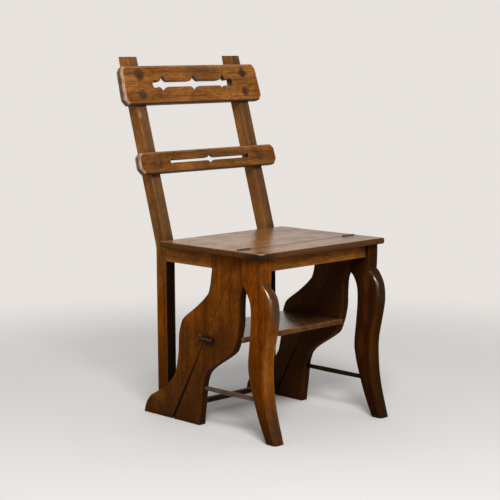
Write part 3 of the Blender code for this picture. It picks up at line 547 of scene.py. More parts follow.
def leg_rings(sign):
    """A leg as level rings. At each level the section is a rectangle between the front and rear
    curves, with quarter rounds at its corners. The front curve is swelled forward by LEG_SWELL times
    the root of half a sine wave from foot to knee. Near the knee the levels fall inwards, so that
    the shoulder slants."""
    levels = np.concatenate((
        np.linspace(0, FOOT_ARRIS[1], 3), np.linspace(0.004, KNEE_TOP - 0.004, 80),
        KNEE_TOP + np.linspace(-0.0022, 0.0014, 6), np.linspace(KNEE_TOP + 0.004, PANEL_TOP, 12)))
    square = np.clip((levels - KNEE_TOP + 0.0018) / 0.0026, 0, 1)
    square = square * square * (3 - 2 * square)
    toe = np.clip(1 - levels / FOOT_ARRIS[1], 0, 1) * FOOT_ARRIS[0]
    swell = LEG_SWELL * np.sqrt(np.sin(np.clip((levels - 0.012) / (KNEE_TOP - 0.014), 0, 1) * math.pi))
    step = SHOULDER_STEP * (square - np.clip((levels - KNEE_TOP - 0.004) / 0.03, 0, 1))
    front = np.interp(levels, leg_front[:, 1], leg_front[:, 0]) + step - swell + toe
    rear = np.where(levels < leg_rear[-1, 1], np.interp(levels, leg_rear[:, 1], leg_rear[:, 0]),
                    LANCET_Y - FIT / 2) - toe
    a = np.linspace(0, math.pi / 2, 6)
    low, back, inset = front[:, None], rear[:, None], toe[:, None]
    wide = LEG_WIDTH - 2 * inset
    big, small = (LEG_ROUND + (LEG_ARRIS - LEG_ROUND) * square)[:, None], LEG_ARRIS
    side = back + (low - back) * np.array((0.12, 0.5, 0.75))
    across, depth = joined([
        (small - small * np.sin(a), back - small + small * np.cos(a)),
        (0, side),
        (big - big * np.cos(a), low + big - big * np.sin(a)),
        (wide * np.array((0.42, 0.58)), low),
        (wide - big + big * np.sin(a), low + big - big * np.cos(a)),
        (wide, side[:, ::-1]),
        (wide - small + small * np.cos(a), back - small + small * np.sin(a)),
        (wide * np.array((0.62, 0.38)), back)])
    near_knee = np.exp(-((levels - KNEE_TOP) / SHOULDER_REACH) ** 2)[:, None]
    height = levels[:, None] - SHOULDER_FALL * across * near_knee
    x = sign * (PANEL_X[0] + LEG_WIDTH - inset - across)
    worn = np.repeat((0.9, 0, 1.0, 0.5, 1.0, 0, 0.9, 0), (6, 3, 6, 2, 6, 3, 6, 2))
    wear = np.maximum(worn * np.ones_like(across), np.clip(1 - levels / 0.006, 0, 1)[:, None])
    return np.dstack((x, depth + POST_FACE_Y, height)), wear


def leg_marks(p):
    """The front lighter half way up as a painted highlight, a dark polished band below the knee, dark feet,
    inner faces darkened with painted shade, these lighter along the middle and black along the rear edge,
    a dark outer rear edge on the left leg, painted shade over the right leg, and one pale painted highlight
    streak at each knee. The polish is kept in front and brightest where the knee's edge is rubbed."""
    inner = ranged(abs(p.x), PANEL_X[0] + 0.0002, PANEL_X[0] + 0.0014, 1.0, 0.0)
    front = p.facing("Y", -0.35, -0.85) * ranged(p.z, KNEE_TOP - 0.004, KNEE_TOP + 0.004, 1.0, 0.0)
    front = front * ranged(abs(p.z - 0.17), 0.07, 0.13, 0.02, 0.92)
    # Painted highlight: the front faces half way up are lightened.
    middle = p.facing("Y", -0.2, -0.6) * ranged(abs(p.z - 0.18), 0.03, 0.09, 0.90, 0.0)
    p.tint(middle, (1.38, 1.75, 2.0), "MULTIPLY")
    p.tint(front, (0.030, 0.013, 0.006))
    p.tint(ranged(p.z, 0.0, 0.16, 0.95, 0.0), (0.030, 0.011, 0.003))
    # Painted shade on the inner faces, which lie under the seat.
    p.tint(inner * 0.9, (0.016, 0.0048, 0.0016))
    black = (0.004, 0.002, 0.001)
    for y, z, share, shade in (
            (-0.222, 0.325, 0.60, (0.085, 0.026, 0.003)), (-0.220, 0.255, 0.48, (0.075, 0.023, 0.003)),
            (-0.205, 0.175, 0.36, (0.085, 0.027, 0.004)), (-0.222, 0.100, 0.20, (0.060, 0.019, 0.003)),
            (-0.189, 0.300, 0.8, black), (-0.180, 0.215, 0.8, black), (-0.181, 0.140, 0.8, black),
            (-0.206, 0.065, 0.8, black)):
        p.spot((PANEL_X[0], y, z), (0.02, 0.015, 0.048), share, shade, 0.5, 0.2)
    # Painted shade: the right leg, which stands in shade, is darkened everywhere but on its inner face.
    p.tint(ranged(p.x, -0.1, 0.1, 0.0, 0.88) * (1 - inner), (0.014, 0.005, 0.001))
    p.spot((-PANEL_X[0] - LEG_WIDTH, -0.197, 0.165), (0.02, 0.029, 0.15), 0.48, (0.050, 0.015, 0.001),
           0.6, 0.2)
    # Painted highlight: a pale streak on each knee's rounded edge.
    for x in (-0.1885, 0.1685):
        p.spot((x, -0.2525, 0.321), (0.004, 0.005, 0.015), 0.45, (0.42, 0.33, 0.30), 0.3, 0.2)
    polish = front * ranged(p.z, 0.20, 0.30, 0.3, 0.8) * ranged(p.x, -0.1, 0.1, 1.0, 0.45)
    rubbed = p.facing("Y", -0.40, -0.60) * p.facing("X", 0.22, 0.45, True) * p.facing("Z", -0.05, 0.25)
    return rubbed * ranged(p.z, 0.26, 0.29) * 5.0 + polish


LEG_OAK = oak("leg oak", ((0.070, 0.017, 0.0010), (0.120, 0.028, 0.0014), (0.175, 0.044, 0.0030)), 0.36,
              0.10, (0.26, 0.105, 0.030), patch=0.28, edge=0.22, coat=0.20, marks=leg_marks)

for count, (side, sign) in enumerate(SIDES):
    rings, wear = leg_rings(sign)
    wooden(f"cabriole_leg_{side}", f"front_leg_{side}", rings, wear * (1.0 if sign < 0 else 0.3), "zxy",
           "front_frame", LEG_OAK, 7 + count, 28)


# Rear posts: leg and upright sawn in one, 28.5 by 35 mm, bent at the seat. The toe of the side panel
# is halved over the foot of the post, and the crest is let into the front of its top.

CHAIR_HEIGHT = 0.863
BACK_RUN = 0.131
LEAN = math.atan(BACK_RUN / (CHAIR_HEIGHT - UNDERSIDE))
POST_X = (0.156, 0.1845)
POST_DEPTH = 0.035
POST_ARRIS = 0.0013
BEND_HALF = 0.017
TOE_CUT = (-0.010, -0.010)
CUT_SIDE = 0.190
CREST_HOUSING = ((0.150, CUT_SIDE), (-0.01, 0.0073), (0.3442, 0.4402))


def up_the_back(points):
    """Points (x, through, along) beside the posts taken to their place: below the bend they stand
    upright, above it they lean, and through the bend the slope turns evenly."""
    x, through, along = np.moveaxis(np.asarray(points), -1, 0)
    turn = np.clip((along + BEND_HALF) / (2 * BEND_HALF), 0, 1) * LEAN
    grid = np.linspace(-BEND_HALF, BEND_HALF, 200)
    slope = (grid + BEND_HALF) / (2 * BEND_HALF) * LEAN
    middle, step = (slope[1:] + slope[:-1]) / 2, grid[1] - grid[0]
    bend_y, bend_z = (np.concatenate(([0], np.cumsum(part(middle)) * step)) for part in (np.sin, np.cos))
    inside = np.clip(along, -BEND_HALF, BEND_HALF)
    above, below = np.maximum(along - BEND_HALF, 0), np.minimum(along + BEND_HALF, 0)
    y = np.interp(inside, grid, bend_y) + above * math.sin(LEAN) + through * np.cos(turn)
    z = (np.interp(inside, grid, bend_z - BEND_HALF) + above * math.cos(LEAN) + below
         - through * np.sin(turn))
    return np.stack((x, y + POST_FACE_Y, z + UNDERSIDE), -1)


def box_section(u, v, corner=0.0010):
    """A rectangle whose corners are small rounds: an arc of four steps at each."""
    a = np.linspace(0, math.pi / 2, 5)
    arcs = []
    for k, (i, j) in enumerate(((0, 0), (1, 0), (1, 1), (0, 1))):
        centre = (u[i] + corner * (1 - 2 * i), v[j] + corner * (1 - 2 * j))
        angle = a + math.pi + k * math.pi / 2
        arcs.append(centre + corner * np.column_stack((np.cos(angle), np.sin(angle))))
    return np.vstack(arcs)


def post_rings(sign):
    """A post as the rings of a rectangle with rounded corners, carried along the bent line. Its top
    is sawn level."""
    ring = spaced(box_section(POST_X, (0, POST_DEPTH), POST_ARRIS), 0.006)
    top = (CHAIR_HEIGHT - UNDERSIDE) / math.cos(LEAN)
    along = np.concatenate((
        np.linspace(-UNDERSIDE, -BEND_HALF, 44), np.linspace(-BEND_HALF, BEND_HALF, 13)[1:-1],
        np.linspace(BEND_HALF, top, 46)))[:, None]
    rings = up_the_back(np.dstack(np.broadcast_arrays(sign * ring[:, 0], ring[:, 1], along)))
    rings[-1, :, 2] = CHAIR_HEIGHT
    rings[-1, :, 1] = POST_FACE_Y + BACK_RUN + ring[:, 1]
    return rings


def drawn_out(name, outline, low, high, order):
    """An outline drawn straight out between two places."""
    p = turned_left(outline)
    rings = np.stack([np.column_stack((p, np.full(len(p), w))) for w in (low, high)])
    return plain_object(name, *skin(place_axes(rings, order)))


def cut_away(piece, *cutters):
    """Cuts other shapes out of a piece, takes those shapes away, and gives the piece's points."""
    for cutter in cutters:
        modifier = piece.modifiers.new(cutter.name, "BOOLEAN")
        modifier.operation = "DIFFERENCE"
        modifier.solver = "EXACT"
        modifier.object = cutter
    bpy.context.view_layer.update()
    made = bpy.data.meshes.new_from_object(piece.evaluated_get(bpy.context.evaluated_depsgraph_get()))
    piece.modifiers.clear()
    old, piece.data = piece.data, made
    made.name = piece.name
    bpy.data.meshes.remove(old)
    for cutter in cutters:
        bpy.data.objects.remove(cutter)
    points = np.empty(len(made.vertices) * 3)
    made.vertices.foreach_get("co", points)
    return points.reshape(-1, 3)


def lean_place(points):
    """Where points lie in a post: through it from its front face, and along it from the bend."""
    y, z = points[:, 1] - POST_FACE_Y, points[:, 2] - UNDERSIDE
    leaning = z > -y * math.tan(LEAN / 2)
    along = np.where(leaning, z * math.cos(LEAN) + y * math.sin(LEAN), z)
    return np.where(leaning, y * math.cos(LEAN) - z * math.sin(LEAN), y), along


def post_marks(p):
    """Above the seat the front faces are dull and grey. Below it the wood is redder outside, darker
    at the foot, nearly black in front with painted shade, and hardly polished. The right post is darker,
    the left one is dark just above the seat, and one worn spot shows under the crest."""
    below = ranged(p.z, 0.38, 0.46, 1.0, 0.0)
    p.tint(ranged(p.z, 0.27, 0.43, 1.0, 0.0), (0.56, 0.36, 0.03), "MULTIPLY")
    p.tint(ranged(p.z, 0.06, 0.24, 0.55, 0.0), (0.024, 0.010, 0.0005))
    p.tint(ranged(p.x, -0.1, 0.1, 0.0, 0.22), (0.050, 0.022, 0.007))
    p.tint(p.facing("Y", -0.45, -0.92) * 0.55, (0.066, 0.040, 0.024))
    # Painted shade: the front faces below the seat, kept in shade by the panel and seat, are made nearly
    # black.
    p.tint(below * (1 - p.facing("X", 0.2, 0.75, True)) * 0.95, (0.004, 0.0015, 0.0005))
    p.tint(ranged(abs(p.z - 0.48), 0.02, 0.12, 0.26, 0.0) * ranged(p.x, -0.1, 0.1, 1.0, 0.0),
           (0.040, 0.018, 0.006))
    p.spot(up_the_back((-0.182, -0.001, 0.322)), (0.008, 0.008, 0.014), 0.6, (0.36, 0.20, 0.10), 0.8, 0.1)
    return 1 - below * 0.85


POST_OAK = oak("post oak", ((0.110, 0.037, 0.006), (0.215, 0.080, 0.017), (0.300, 0.120, 0.028)), 0.45,
               0.05, (0.34, 0.17, 0.07), patch=0.25, edge=0.7, dirt_and_shade_share=0.5, marks=post_marks)
toe_edge = rear_edge[rear_edge[:, 0] > TOE_CUT[0]]
ahead = np.gradient(toe_edge, axis=0)
toe_edge = toe_edge + FIT * ahead[:, ::-1] * (1, -1) / np.linalg.norm(ahead, axis=1)[:, None]
toe_outline = np.vstack((
    [(TOE_CUT[0], toe_edge[-1, 1]), TOE_CUT, (toe_edge[0, 0], TOE_CUT[1])], toe_edge))

for count, (side, sign) in enumerate(SIDES):
    post = plain_object(f"bent_post_{side}", *skin(post_rings(sign)))
    toe = drawn_out("toe_cut", toe_outline, sign * (PANEL_X[0] - FIT), sign * CUT_SIDE, "yzx")
    housing = up_the_back([(sign * x, n, d) for x in CREST_HOUSING[0] for n in CREST_HOUSING[1]
                           for d in CREST_HOUSING[2]])
    crest = plain_object("crest_cut", housing, [[0, 1, 3, 2], [4, 6, 7, 5], [0, 4, 5, 1], [2, 3, 7, 6],
                                                [0, 2, 6, 4], [1, 5, 7, 3]])
    points = cut_away(post, toe, crest)
    through, along = lean_place(points)
    to_side, to_face = (np.abs(np.abs(part)[:, None] - faces).min(1) for part, faces in (
        (points[:, 0], POST_X), (through, (0, POST_DEPTH))))
    wear = np.clip(1.2 - np.maximum(to_side, to_face) / 0.0012, 0, 1)
    set_grain(post, np.column_stack((along, points[:, 0], through)),
              wear * np.where(points[:, 2] > UNDERSIDE, 1, 0.2), 11 + count)
    finish_piece(post, f"rear_post_{side}", "rear_frame", POST_OAK)


# Rails under the seat: straight oak bars with plain square edges, tenoned into the legs and posts.
# They carry the seat's boards, and the side rails carry on the line of the panels to the posts.

RAIL_THICK = 0.019
RAIL_Z = (0.3802, PANEL_TOP)
FRONT_RAIL_FOOT = 0.3862
FRONT_RAIL_END = 0.1655
REAR_RAIL_Y = 0.006
RAIL_OAK = oak("rail oak", ((0.100, 0.030, 0.004), (0.205, 0.062, 0.007), (0.290, 0.098, 0.014)), 0.48,
               0.05, (0.24, 0.11, 0.035), patch=0.28, edge=0.4)
rail_front_y = leg_front[-1, 0] + 0.010


def bar(name, node_name, section, span, order, grain, body, look, turn):
    """A bar: its section drawn out along one axis, from one end of its span to the other."""
    rings, wear = board(section, *span, SHARP_ARRIS, step=0.005)
    wooden(name, node_name, place_axes(rings, order), wear, grain, body, look, turn)


rails = [("front", "front_rail", (rail_front_y, rail_front_y + RAIL_THICK), (FRONT_RAIL_FOOT, PANEL_TOP),
          (-FRONT_RAIL_END, FRONT_RAIL_END), "yzx", "xzy", "front_frame"),
         ("rear", "rear_rail", (REAR_RAIL_Y, REAR_RAIL_Y + RAIL_THICK), RAIL_Z, (-POST_X[0], POST_X[0]),
          "yzx", "xzy", "rear_frame")]
rails += [(side, f"side_rail_{side}", sorted(sign * x for x in PANEL_X), RAIL_Z,
           (rear_edge[-1, 0] + FIT, -FIT), "xzy", "yzx", "rear_frame") for side, sign in SIDES]
for count, (where, node_name, wide, high, span, order, grain, body) in enumerate(rails):
    bar(f"rail_under_seat_{where}", node_name, box_section(wide, high), span, order, grain, body,
        RAIL_OAK, 13 + count)


# Treads and the low rail: 13 mm oak steps housed between the panels, cut in two on the same slant as
# the panels. Their tops are polished by feet, and the low rail is a plain dark bar, its darkness partly
# painted shade under the treads.

TREAD_Z = (0.213, 0.226)
TREAD_ENDS = (-0.1712, 0.1712)
TREAD_Y = (-0.245, -0.058)
TREAD_NOSE = 0.0030
LOW_RAIL = ((-0.022, -0.010), (0.0205, 0.033), 0.0014)


def tread_marks(p):
    """Dark unpolished edges below the rubbed upper arris."""
    top = p.facing("Z", 0.55, 0.95)
    p.tint((1 - top) * 0.85, (0.026, 0.010, 0.003))
    return top


def eased(outline, radius, corners, steps=4):
    """An outline whose chosen corners become quadratic curves that start a radius before them."""
    p = np.asarray(outline, float)
    t = np.linspace(0, 1, steps + 1)[:, None]
    rows = []
    for k, corner in enumerate(p):
        if k in corners:
            first, last = (corner + (other - corner) / np.linalg.norm(other - corner) * radius
                           for other in (p[k - 1], p[(k + 1) % len(p)]))
            rows.append(first * (1 - t) ** 2 + corner * 2 * t * (1 - t) + last * t ** 2)
        else:
            rows.append(corner[None])
    return np.vstack(rows)


TREAD_OAK = oak("tread oak", ((0.042, 0.013, 0.003), (0.086, 0.029, 0.008), (0.140, 0.052, 0.014)), 0.13,
                0.36, (0.30, 0.14, 0.055), rings=260.0, patch=0.2, edge=0.55, swell=0.12,
                marks=tread_marks)
# The low rail's oak is very dark: partly its own colour, partly painted shade under the treads.
DARK_SHADED_OAK = oak("dark oak", ((0.008, 0.004, 0.002), (0.018, 0.008, 0.004), (0.034, 0.015, 0.008)), 0.50,
               0.05, (0.060, 0.028, 0.015), rings=400.0)
low, high = TREAD_Z
front_tread = [(TREAD_Y[0], low), (front_cut_y(low), low), (front_cut_y(high), high), (TREAD_Y[0], high)]
rear_tread = [(rear_cut_y(low), low), (TREAD_Y[1], low), (TREAD_Y[1], high), (rear_cut_y(high), high)]
for half, outline, nosed, turn in (("front", front_tread, (0, 3), 17), ("rear", rear_tread, (1, 2), 18)):
    bar(f"step_{half}", f"tread_{half}", eased(outline, TREAD_NOSE, nosed), TREAD_ENDS, "yzx", "xyz",
        f"{half}_frame", TREAD_OAK, turn)
bar("bar_above_floor", "low_rail", box_section(*LOW_RAIL), TREAD_ENDS, "yzx", "xzy", "rear_frame",
    DARK_SHADED_OAK, 19)


# Stretchers: turned oak bars, let into the panels and the front legs, a little fuller at the middle
# and worn grey where feet rest on them.

STRETCHER_X = 0.174
STRETCHER_Z = 0.091
STRETCHER_RADIUS = 0.0056
STRETCHER_TENON = 0.012


def stretcher_marks(p):
    """The right bar is nearly black."""
    right = ranged(p.x, -0.1, 0.1, 0.0, 0.97)
    p.tint(right, (0.008, 0.004, 0.002))
    return 1 - right


def stretcher_rings(x, start, end):
    """A round bar along y: its radius is smaller at the ends by the square of the way out, with a
    slight wander, and the ring points go once round."""
    t = np.linspace(0, 1, 60)[:, None]
    angle = np.linspace(0, 2 * math.pi, 29)[:-1]
    size = STRETCHER_RADIUS * (1 - 0.10 * (2 * t - 1) ** 2 + 0.02 * np.sin(9 * t + 2 * angle))
    y = np.broadcast_to(start + (end - start) * t + POST_FACE_Y, size.shape)
    return np.dstack((x + size * np.cos(angle), y, STRETCHER_Z + size * np.sin(angle)))


STRETCHER_OAK = oak("stretcher oak", ((0.030, 0.016, 0.009), (0.078, 0.042, 0.024), (0.130, 0.074, 0.044)),
                    0.38, 0.16, (0.17, 0.10, 0.06), rings=500.0, marks=stretcher_marks)
leg_at = np.interp(STRETCHER_Z, leg_rear[:, 1], leg_rear[:, 0]) - STRETCHER_TENON
panel_at = np.interp(STRETCHER_Z, front_edge[:, 1], front_edge[:, 0]) + STRETCHER_TENON
for count, (side, sign) in enumerate(SIDES):
    rings = stretcher_rings(sign * STRETCHER_X, leg_at, panel_at)
    wear = (0.45 if sign < 0 else 0.08) * np.ones(rings.shape[:2])
    wooden(f"round_stretcher_{side}", f"stretcher_{side}", rings, wear, "yxz", "front_frame",
           STRETCHER_OAK, 20 + count)


# Seat: two polished oak boards with rounded edges, a narrow one fixed in front and a deep one that
# turns over with the rear half. They meet in a thin dark line, with the hinges let into their edges.

SEAT_HALF = 0.209
SEAT_Z = (UNDERSIDE, 0.431)
SEAT_NOSE = 0.0046
SEAT_CORNERS = (0.0050, 0.0120)
SPLIT_ARRIS = 0.0010
HINGE_X = 0.175
HINGE_HALF = 0.019
HINGE_CUTS = ((0.0021, 0.4192), (0.0032, 0.4283))
HINGE_CUT_START = 0.004
HINGE_CUT_TOP = 0.440


def round_fall(radius, inside):
    """How far a quarter round has fallen at a distance inside its end: r - sqrt(r² - (r - d)²)."""
    return radius - np.sqrt(np.maximum(radius ** 2 - np.maximum(radius - inside, 0) ** 2, 0))


def seat_rings(free_y, split_y, corner):
    """A seat board as upright sections from its free edge to the split. A section is a flat
    rectangle with quarter rounds at its four corners. Near the free edge its half width falls by the
    plan's corner round, and its top and bottom close in by the same quarter round as the sides."""
    run = abs(split_y - free_y)
    a = np.linspace(0, math.pi / 2, 7)
    off = np.concatenate((SEAT_NOSE * (1 - np.cos(a)), np.linspace(SEAT_NOSE + 0.0004, corner + 0.0006, 6),
                          np.linspace(0.014, run - 0.004, max(int(run / 0.012), 3)),
                          [run - 0.0012, run - 0.0008, run - 0.0004, run]))
    close = round_fall(SEAT_NOSE, off) + round_fall(SPLIT_ARRIS, run - off)
    half, low, high = (part[:, None] for part in (
        SEAT_HALF - round_fall(corner, off), SEAT_Z[0] + close, SEAT_Z[1] - close))
    nose = np.minimum(SEAT_NOSE, 0.49 * (high - low))
    flat = np.linspace(-0.94, 0.94, 45)
    x, z = joined([(half * flat, low),
                   (half - nose + nose * np.sin(a), low + nose - nose * np.cos(a)),
                   (half - nose + nose * np.cos(a), high - nose + nose * np.sin(a)),
                   (-half * flat, high),
                   (-half + nose - nose * np.sin(a), high - nose + nose * np.cos(a)),
                   (-half + nose - nose * np.cos(a), low + nose - nose * np.sin(a))])
    y = free_y + off * np.sign(split_y - free_y) + POST_FACE_Y
    return np.dstack((x, np.broadcast_to(y[:, None], x.shape), z))


def seat_marks(p):
    """Redder towards the right, dark dull wood on the edges, a dark rubbed corner at the near front with a
    pale scratch over it that is partly a painted highlight, and the dark line where the boards meet,
    fainter at the edges."""
    p.tint(ranged(p.x, -0.08, 0.18, 0.0, 0.45), (0.110, 0.045, 0.012))
    top = p.facing("Z", 0.90, 0.997)
    edge = blended(p.facing("Y", -0.25, -0.75), (0.056, 0.022, 0.007), (0.068, 0.030, 0.012))
    p.tint((1 - top) * 0.86, edge)
    p.spot((-0.205, -0.232, 0.424), (0.070, 0.060, 0.017), 0.88, (0.018, 0.010, 0.007), 0.9, 0.2)
    # A pale scratch on the near front corner's edge, partly worn wood and partly a painted highlight.
    p.spot((-0.200, -0.235, 0.4310), (0.014, 0.013, 0.0030), 0.50, (0.50, 0.38, 0.22), 1.2, 0.1)
    away = ranged(abs(p.y - (SPLIT_Y + POST_FACE_Y)), 0.0012, 0.0042)
    p.tint((1 - away) * 0.92 * (top * 0.65 + 0.35), (0.012, 0.006, 0.003))
    return top * away * ranged(p.x, -0.06, 0.20, 1.0, 0.72)


SEAT_OAK = oak("seat oak", ((0.108, 0.041, 0.008), (0.228, 0.094, 0.019), (0.325, 0.142, 0.032)), 0.22,
               0.165, (0.42, 0.27, 0.16), rings=240.0, patch=0.16, edge=0.55, swell=0.12,
               marks=seat_marks)

for count, (half, free_y, split_y) in enumerate((
        ("front", -SEAT_DEPTH, SPLIT_Y - FIT), ("rear", -FIT, SPLIT_Y + FIT))):
    seat = plain_object(f"seat_board_{half}_top", *skin(seat_rings(free_y, split_y, SEAT_CORNERS[count])))
    into = math.copysign(1, free_y - split_y)
    cutters = []
    for _, sign in SIDES:
        left, right = (sign * HINGE_X + way * (HINGE_HALF + FIT) for way in (-1, 1))
        for depth, bottom in HINGE_CUTS:
            near, far = sorted((SPLIT_Y - into * HINGE_CUT_START, SPLIT_Y + into * depth))
            outline = [(left, near), (right, near), (right, far), (left, far)]
            cutters.append(drawn_out("hinge_cut", outline, bottom, HINGE_CUT_TOP, "xyz"))
    points = cut_away(seat, *cutters)
    to_edge = np.minimum(SEAT_HALF - np.abs(points[:, 0]), np.abs(points[:, 1] - POST_FACE_Y - free_y))
    rubbed = np.exp(-((to_edge - SEAT_NOSE) / 0.0018) ** 2) * (points[:, 2] > SEAT_Z[1] - 0.0026)
    set_grain(seat, points, rubbed, 22 + count)
    finish_piece(seat, f"seat_board_{half}", f"{half}_frame", SEAT_OAK)


# Hinges: plain iron butts, their leaves let into the meeting edges of the seat boards, their knuckles
# just above the seat. Dark old iron, rubbed brighter on top of the knuckles.

def iron(name, dark, bright, roughness):
    """Old iron: dark scale with brighter rubbed patches and a pitted surface."""
    look, shader, place = new_look(name)
    rubbed = ranged(noise(place, (380.0,) * 3, 4.0, 0.6), 0.44, 0.62)
    feed(shader["Base Color"], blended(rubbed, dark, bright))
    feed(shader["Roughness"], rubbed * -0.12 + roughness)
    feed(shader["Metallic"], ranged(rubbed, 0.0, 1.0, 0.55, 0.95))
    feed(shader["Normal"], field(place.tree, "ShaderNodeBump", {
        "Height": noise(place, (1400.0,) * 3), "Strength": 0.3, "Distance": 0.0002}))
    return look


HINGE_IRON = iron("hinge iron", (0.048, 0.034, 0.026), (0.17, 0.13, 0.10), 0.46)
for name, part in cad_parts.items():
    if name.startswith("hinge_"):
        part.data.materials.clear()
        part.data.materials.append(HINGE_IRON)


# Back: a broad crest board let into the uprights and a narrow one on their faces, both pierced with a
# long slot, its ends round and its edges breaking into pointed cusps. The front edges are chamfered.

BACK_OAK_SHADES = ((0.062, 0.020, 0.004), (0.165, 0.058, 0.011), (0.265, 0.098, 0.020))
BACK_ARRIS = 0.0011
CHAMFER_EASE = 0.0009
CUSP_SHIFT = 0.0055
CUSP_GROWTH = 0.003
PLUG_X = 0.17025
PLUG_STAIN_AND_SHADE = 0.017
CREST_PLUGS = (0.3682, 0.4162)
LOWER_PLUGS = (0.200,)
CREST_FACES = (-0.012, 0.007)
LOWER_FACES = (-0.0173, -0.0003)


def half_paths(corners, radius, top):
    """The upper or lower path round a board from the middle of its left end to that of its right."""
    outline = eased(corners, radius, range(len(corners)), 6)
    ends = np.vstack((outline, outline[:1]))
    level = ends[:, 1]
    middles = {}
    for k in np.flatnonzero(level[:-1] * level[1:] < 0):
        t = level[k] / (level[k] - level[k + 1])
        middles[np.sign(ends[k, 0])] = ends[k] + (ends[k + 1] - ends[k]) * t
    way = 1 if top else -1
    chosen = outline[outline[:, 1] * way > 0]
    turn = np.unwrap(np.arctan2(chosen[:, 1] * way, chosen[:, 0]))
    return np.vstack((middles[-1.0], chosen[np.argsort(turn)[::-1]], middles[1.0]))


def slot_top(half, rise, lobe, cusp_rise, reach, cusps):
    """The upper edge of a slot from its left tip to its right: a round lobe, a straight edge whose
    cusps rise as a power of the nearness to their tips, and the other lobe."""
    angle = np.linspace(math.pi, math.asin(rise / lobe), 22)
    left = np.column_stack((lobe - half + lobe * np.cos(angle), lobe * np.sin(angle)))
    near = np.linspace(-1, 1, 17)
    height = rise + (cusp_rise - rise) * (1 - np.abs(near)) ** 1.7
    rises = [np.column_stack((cusp + reach * near, height)) for cusp in cusps]
    return np.vstack((left, *rises, left[::-1] * (-1, 1)))


def paired_edges(path, slot, neck):
    """A board's edge and its slot's edge as equally many points. Between the slot's necks a point of
    the slot has its partner straight above it, and beyond them both edges run by equal shares of
    their lengths round the end. The right end mirrors the left."""
    far, near = path_lengths(path), path_lengths(slot)
    k = np.flatnonzero(path[:, 0] < -neck)[-1]
    step = path[k + 1] - path[k]
    above = far[k] + np.hypot(*(step * (-neck - path[k, 0]) / step[0]))
    first = np.flatnonzero(slot[:, 0] < -neck + 1e-5)[-1]
    shares = np.unique(np.concatenate((
        far[:k + 1] / above, near[:first + 1] / near[first], np.linspace(0, 1, 9))))
    shares = shares[np.concatenate((np.diff(shares) > 0.004, [True]))]
    left = along_path(path, shares * above), along_path(slot, shares * near[first])
    middle = slot[np.abs(slot[:, 0]) < neck - 0.0004]
    flat = np.column_stack((middle[:, 0], np.full(len(middle), path[k + 1, 1])))
    return tuple(np.vstack((end, part, end[::-1] * (-1, 1))) for end, part in zip(left, (flat, middle)))


def opened_behind(hole, slot, neck):
    """The slot's outline at the back of the board, where each cusp is sawn taller and wider and
    further to the right, and the straight edges between them are as much shorter."""
    _, rise, _, cusp_rise, reach, cusps = slot
    front, back = (
        np.array([-neck, *(cusp + shift + way * (reach + more) for cusp in cusps for way in (-1, 1)), neck])
        for shift, more in ((0, 0), (CUSP_SHIFT, CUSP_GROWTH)))
    back = np.minimum(back, neck - 0.0004 * (front < neck))
    inside = np.abs(hole[:, 0]) < neck
    x = np.where(inside, np.interp(hole[:, 0], front, back), hole[:, 0])
    z = np.abs(hole[:, 1])
    taller = 1 + CUSP_GROWTH / (cusp_rise - rise)
    z = np.where(inside & (z > rise), rise + (z - rise) * taller, z)
    return np.column_stack((x, z * np.sign(hole[:, 1])))


def held(here, there):
    """Four rings between two rings of a flat face, 0.4 mm and 3 mm from each, that keep the light
    even on it."""
    ahead = there - here
    gap = np.linalg.norm(ahead, axis=1)[:, None]
    step = ahead / gap * np.minimum(0.003, 0.3 * gap)
    thin = ahead / gap * 0.0004
    return np.stack((here + thin, here + step, there - step, there - thin))


